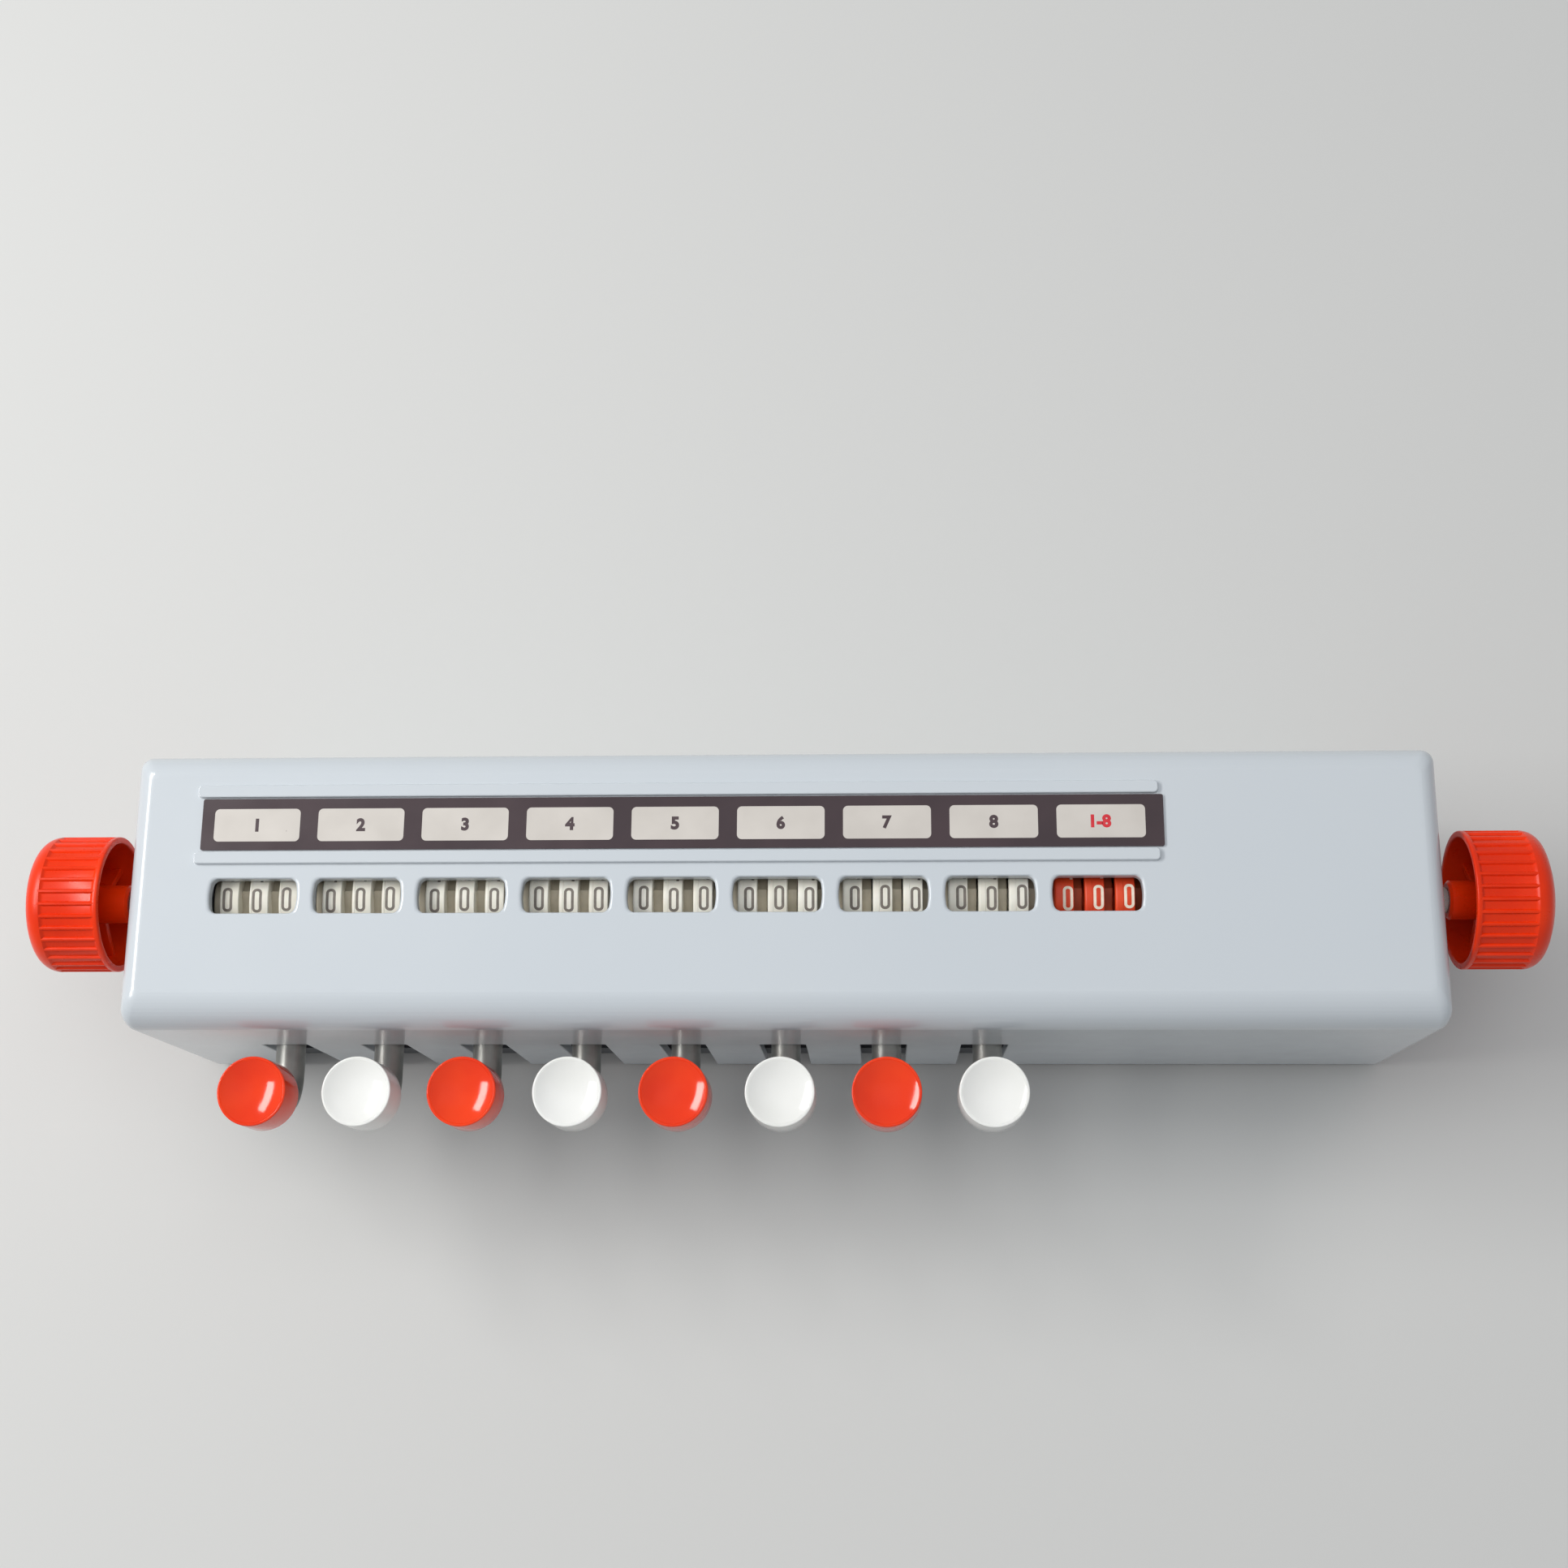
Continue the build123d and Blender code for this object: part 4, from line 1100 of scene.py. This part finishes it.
def resetKnob(side, tree):
    v = knobValues
    y, z = counterValues["shaftY"], counterValues["shaftZ"]
    bm = bmesh.new()
    profile = [(radius, side * along) for radius, along in knobProfile()]
    turnProfile(bm, profile, v["steps"], axisX(y, z))
    half = v["webThickness"] / 2
    for i in range(v["webs"]):
        turn = Matrix.Rotation(2 * math.pi * (i + 0.5) / v["webs"], 4, "X")
        loops = []
        for along in (v["webX"], v["webX"] + 0.25, v["floorX"] + 0.5):
            thin = half - 0.2 if along == v["webX"] else half
            corners = ((-thin, v["hubRadius"] - 0.5), (thin, v["hubRadius"] - 0.5))
            corners += ((thin, v["innerRadius"] + 0.5), (-thin, v["innerRadius"] + 0.5))
            loops.append([])
            for a, b in corners:
                point = turn @ Vector((0, a, b)) + Vector((side * along, y, z))
                loops[-1].append(point * mm)
        stackLoops(bm, loops)
    values = {"Count": v["ribs"], "Centre": (0, y * mm, z * mm), "Side": float(side)}
    values["Material"] = finishes["knobPlastic"]
    ribs = grow(ribMesh(), tree, values, "knobRibsMesh")
    extra = bmesh.new()
    extra.from_mesh(ribs)
    bmesh.ops.recalc_face_normals(extra, faces=extra.faces)
    ribs = meshFrom(extra, "knobRibsTurned")
    bm.from_mesh(ribs)
    return meshFrom(bm, "knobMesh")


knobTree = ribTree()
for side, word in ((1, "right"), (-1, "left")):
    node = "reset_knob_" + word
    mesh = resetKnob(side, knobTree)
    knob = addPiece("resetKnob" + word.capitalize(), mesh, "reset_shaft", [node], 30)
    wear(knob, finishes["knobPlastic"])
print("reset knobs made")


# Return springs: one wound coil under each lever tail

springValues = {"coilRadius": 1.9, "wire": 0.8, "turns": 8.0, "wireSteps": 10, "turnSteps": 22}


def springTree():
    inputs = {"Radius": "Float", "Wire": "Float", "Height": "Float", "Turns": "Float", "Material": "Material"}
    tree, source, output = newTree("springCoils", inputs)
    take = source.outputs
    sockets = {"Resolution": springValues["turnSteps"], "Rotations": take["Turns"], "Height": take["Height"]}
    sockets.update({"Start Radius": take["Radius"], "End Radius": take["Radius"]})
    spiral = put(tree, "GeometryNodeCurveSpiral", sockets)
    sockets = {"Resolution": springValues["wireSteps"], "Radius": take["Wire"]}
    ring = put(tree, "GeometryNodeCurvePrimitiveCircle", sockets)
    sockets = {"Curve": spiral.outputs[0], "Profile Curve": ring.outputs[0], "Fill Caps": True}
    wire = put(tree, "GeometryNodeCurveToMesh", sockets)
    many = put(tree, "GeometryNodeInstanceOnPoints", {"Points": take["Geometry"], "Instance": wire.outputs[0]})
    finishTree(tree, source, output, many.outputs[0])
    return tree


def returnSprings():
    v = springValues
    low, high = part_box("return_springs")
    half = v["wire"] / 2 * mm
    seed = bpy.data.meshes.new("springFeet")
    feet = []
    for x in counterXs[: counterValues["keys"]]:
        feet.append(((x + counterValues["keyShift"]) * mm, (low.y + high.y) / 2, low.z + half))
    seed.from_pydata(feet, [], [])
    values = {
        "Radius": v["coilRadius"] * mm,
        "Wire": half,
        "Height": high.z - low.z - 2 * half,
        "Turns": v["turns"],
        "Material": finishes["springSteel"],
    }
    return grow(seed, springTree(), values, "returnSprings")


springs = addPiece("returnSprings", returnSprings(), "case", ["return_springs"], 60)
wear(springs, finishes["springSteel"])
print("springs made")


# The solids that keep their own shape

nodeFinishes = {
    "base_tray": "trayShadePaint",
    "rubber_feet": "footRubber",
    "case_screws": "blackScrew",
    "reset_shaft": "shaftSteel",
    "shaft_bushes": "bushBrass",
    "bearing_plates": "zincSteel",
    "detent_comb": "springSteel",
    "key_axle": "shaftSteel",
    "total_bail": "zincSteel",
    "bell_gong": "gongNickel",
    "bell_bracket": "zincSteel",
    "bell_hammer": "bushBrass",
}
for key in range(1, counterValues["keys"] + 1):
    nodeFinishes["key_lever_" + str(key)] = "stemSteel"
for node, finish in nodeFinishes.items():
    dress(node, finishes[finish])
print("solids dressed:", len(nodeFinishes))


# Floor, light and camera

stageValues = {
    "floorColour": (212, 212, 210),
    "floorSize": 6.0,
    "floorFade": (0.45, 1.3),  # metres from the middle over which the floor turns into backdrop
    "worldColour": (236, 239, 243),
    "worldLight": 0.36,
    "worldShown": 0.6,
    "lamps": (
        # name, place, aim, size across and down, watts, colour, mirrored in gloss
        ("windowLight", (-0.78, 0.2, 0.8), (-0.02, 0.0, 0.05), 0.75, 0.22, 7.6, (1.0, 0.99, 0.97), True),
        ("skyLight", (0.0, 0.2, 1.4), (0.0, 0.0, 0.0), 1.1, 0.9, 6.6, (0.98, 0.99, 1.0), False),
    ),
}
cameraValues = {
    "lens": 47.594,
    "sensor": 36.0,
    "place": (23.809, -86.526, 533.454),
    "turn": (-0.2576, -0.0468, 0.0060),
}


def makeFloor():
    v = stageValues
    mesh = bpy.data.meshes.new("floorMesh")
    half = v["floorSize"] / 2
    mesh.from_pydata([(-half, -half, 0), (half, -half, 0), (half, half, 0), (-half, half, 0)], [], [(0, 1, 2, 3)])
    floor = bpy.data.objects.new("floor", mesh)
    scene.collection.objects.link(floor)
    material = bpy.data.materials.new("floorPaper")
    material.use_nodes = True
    tree = material.node_tree
    shader = tree.nodes["Principled BSDF"]
    shader.inputs["Base Color"].default_value = shown(*v["floorColour"])
    shader.inputs["Roughness"].default_value = 0.9
    far = put(tree, "ShaderNodeEmission", {"Color": shown(*v["worldColour"]), "Strength": backdropStrength(tree)})
    place = put(tree, "ShaderNodeTexCoord").outputs["Object"]
    away = put(tree, "ShaderNodeVectorMath", {0: place}, operation="LENGTH").outputs["Value"]
    blend = put(tree, "ShaderNodeMapRange", {"Value": away}, interpolation_type="SMOOTHSTEP")
    blend.inputs["From Min"].default_value, blend.inputs["From Max"].default_value = v["floorFade"]
    mixed = put(tree, "ShaderNodeMixShader", {0: blend.outputs["Result"], 1: shader.outputs[0], 2: far.outputs[0]})
    tree.links.new(mixed.outputs[0], tree.nodes["Material Output"].inputs["Surface"])
    mesh.materials.append(material)


# What the background shows to the camera and in gloss, and the light it gives
def backdropStrength(tree):
    v = stageValues
    path = put(tree, "ShaderNodeLightPath").outputs
    seen = maths(tree, "MAXIMUM", path["Is Camera Ray"], path["Is Glossy Ray"])
    seen = maths(tree, "MAXIMUM", seen, path["Is Transmission Ray"])
    return spread(tree, seen, 0.0, 1.0, v["worldLight"], v["worldShown"])


def makeWorld():
    v = stageValues
    world = bpy.data.worlds.new("studio")
    scene.world = world
    world.use_nodes = True
    tree = world.node_tree
    back = tree.nodes["Background"]
    back.inputs["Color"].default_value = shown(*v["worldColour"])
    tree.links.new(backdropStrength(tree), back.inputs["Strength"])


def makeLamps():
    for name, place, aim, across, down, watts, colour, mirrored in stageValues["lamps"]:
        data = bpy.data.lights.new(name, "AREA")
        data.shape = "RECTANGLE"
        data.size = across
        data.size_y = down
        data.energy = watts
        data.color = colour
        lamp = bpy.data.objects.new(name, data)
        lamp.location = place
        lamp.visible_glossy = mirrored
        lamp.rotation_euler = (Vector(aim) - Vector(place)).to_track_quat("-Z", "Y").to_euler()
        scene.collection.objects.link(lamp)


def makeCamera():
    v = cameraValues
    a, b, c = v["turn"]
    toCamera = Matrix.Rotation(c, 3, "Z") @ Matrix.Rotation(b, 3, "Y") @ Matrix.Rotation(a, 3, "X")
    data = bpy.data.cameras.new("photoCamera")
    data.sensor_fit = "HORIZONTAL"
    data.sensor_width = v["sensor"]
    data.lens = v["lens"]
    data.clip_start = 0.02
    data.clip_end = 20.0
    camera = bpy.data.objects.new("photoCamera", data)
    scene.collection.objects.link(camera)
    camera.matrix_world = Matrix.Translation(Vector(v["place"]) * mm) @ toCamera.transposed().to_4x4()
    scene.camera = camera


makeFloor()
makeWorld()
makeLamps()
makeCamera()
scene.view_settings.view_transform = "Standard"
print("stage made")
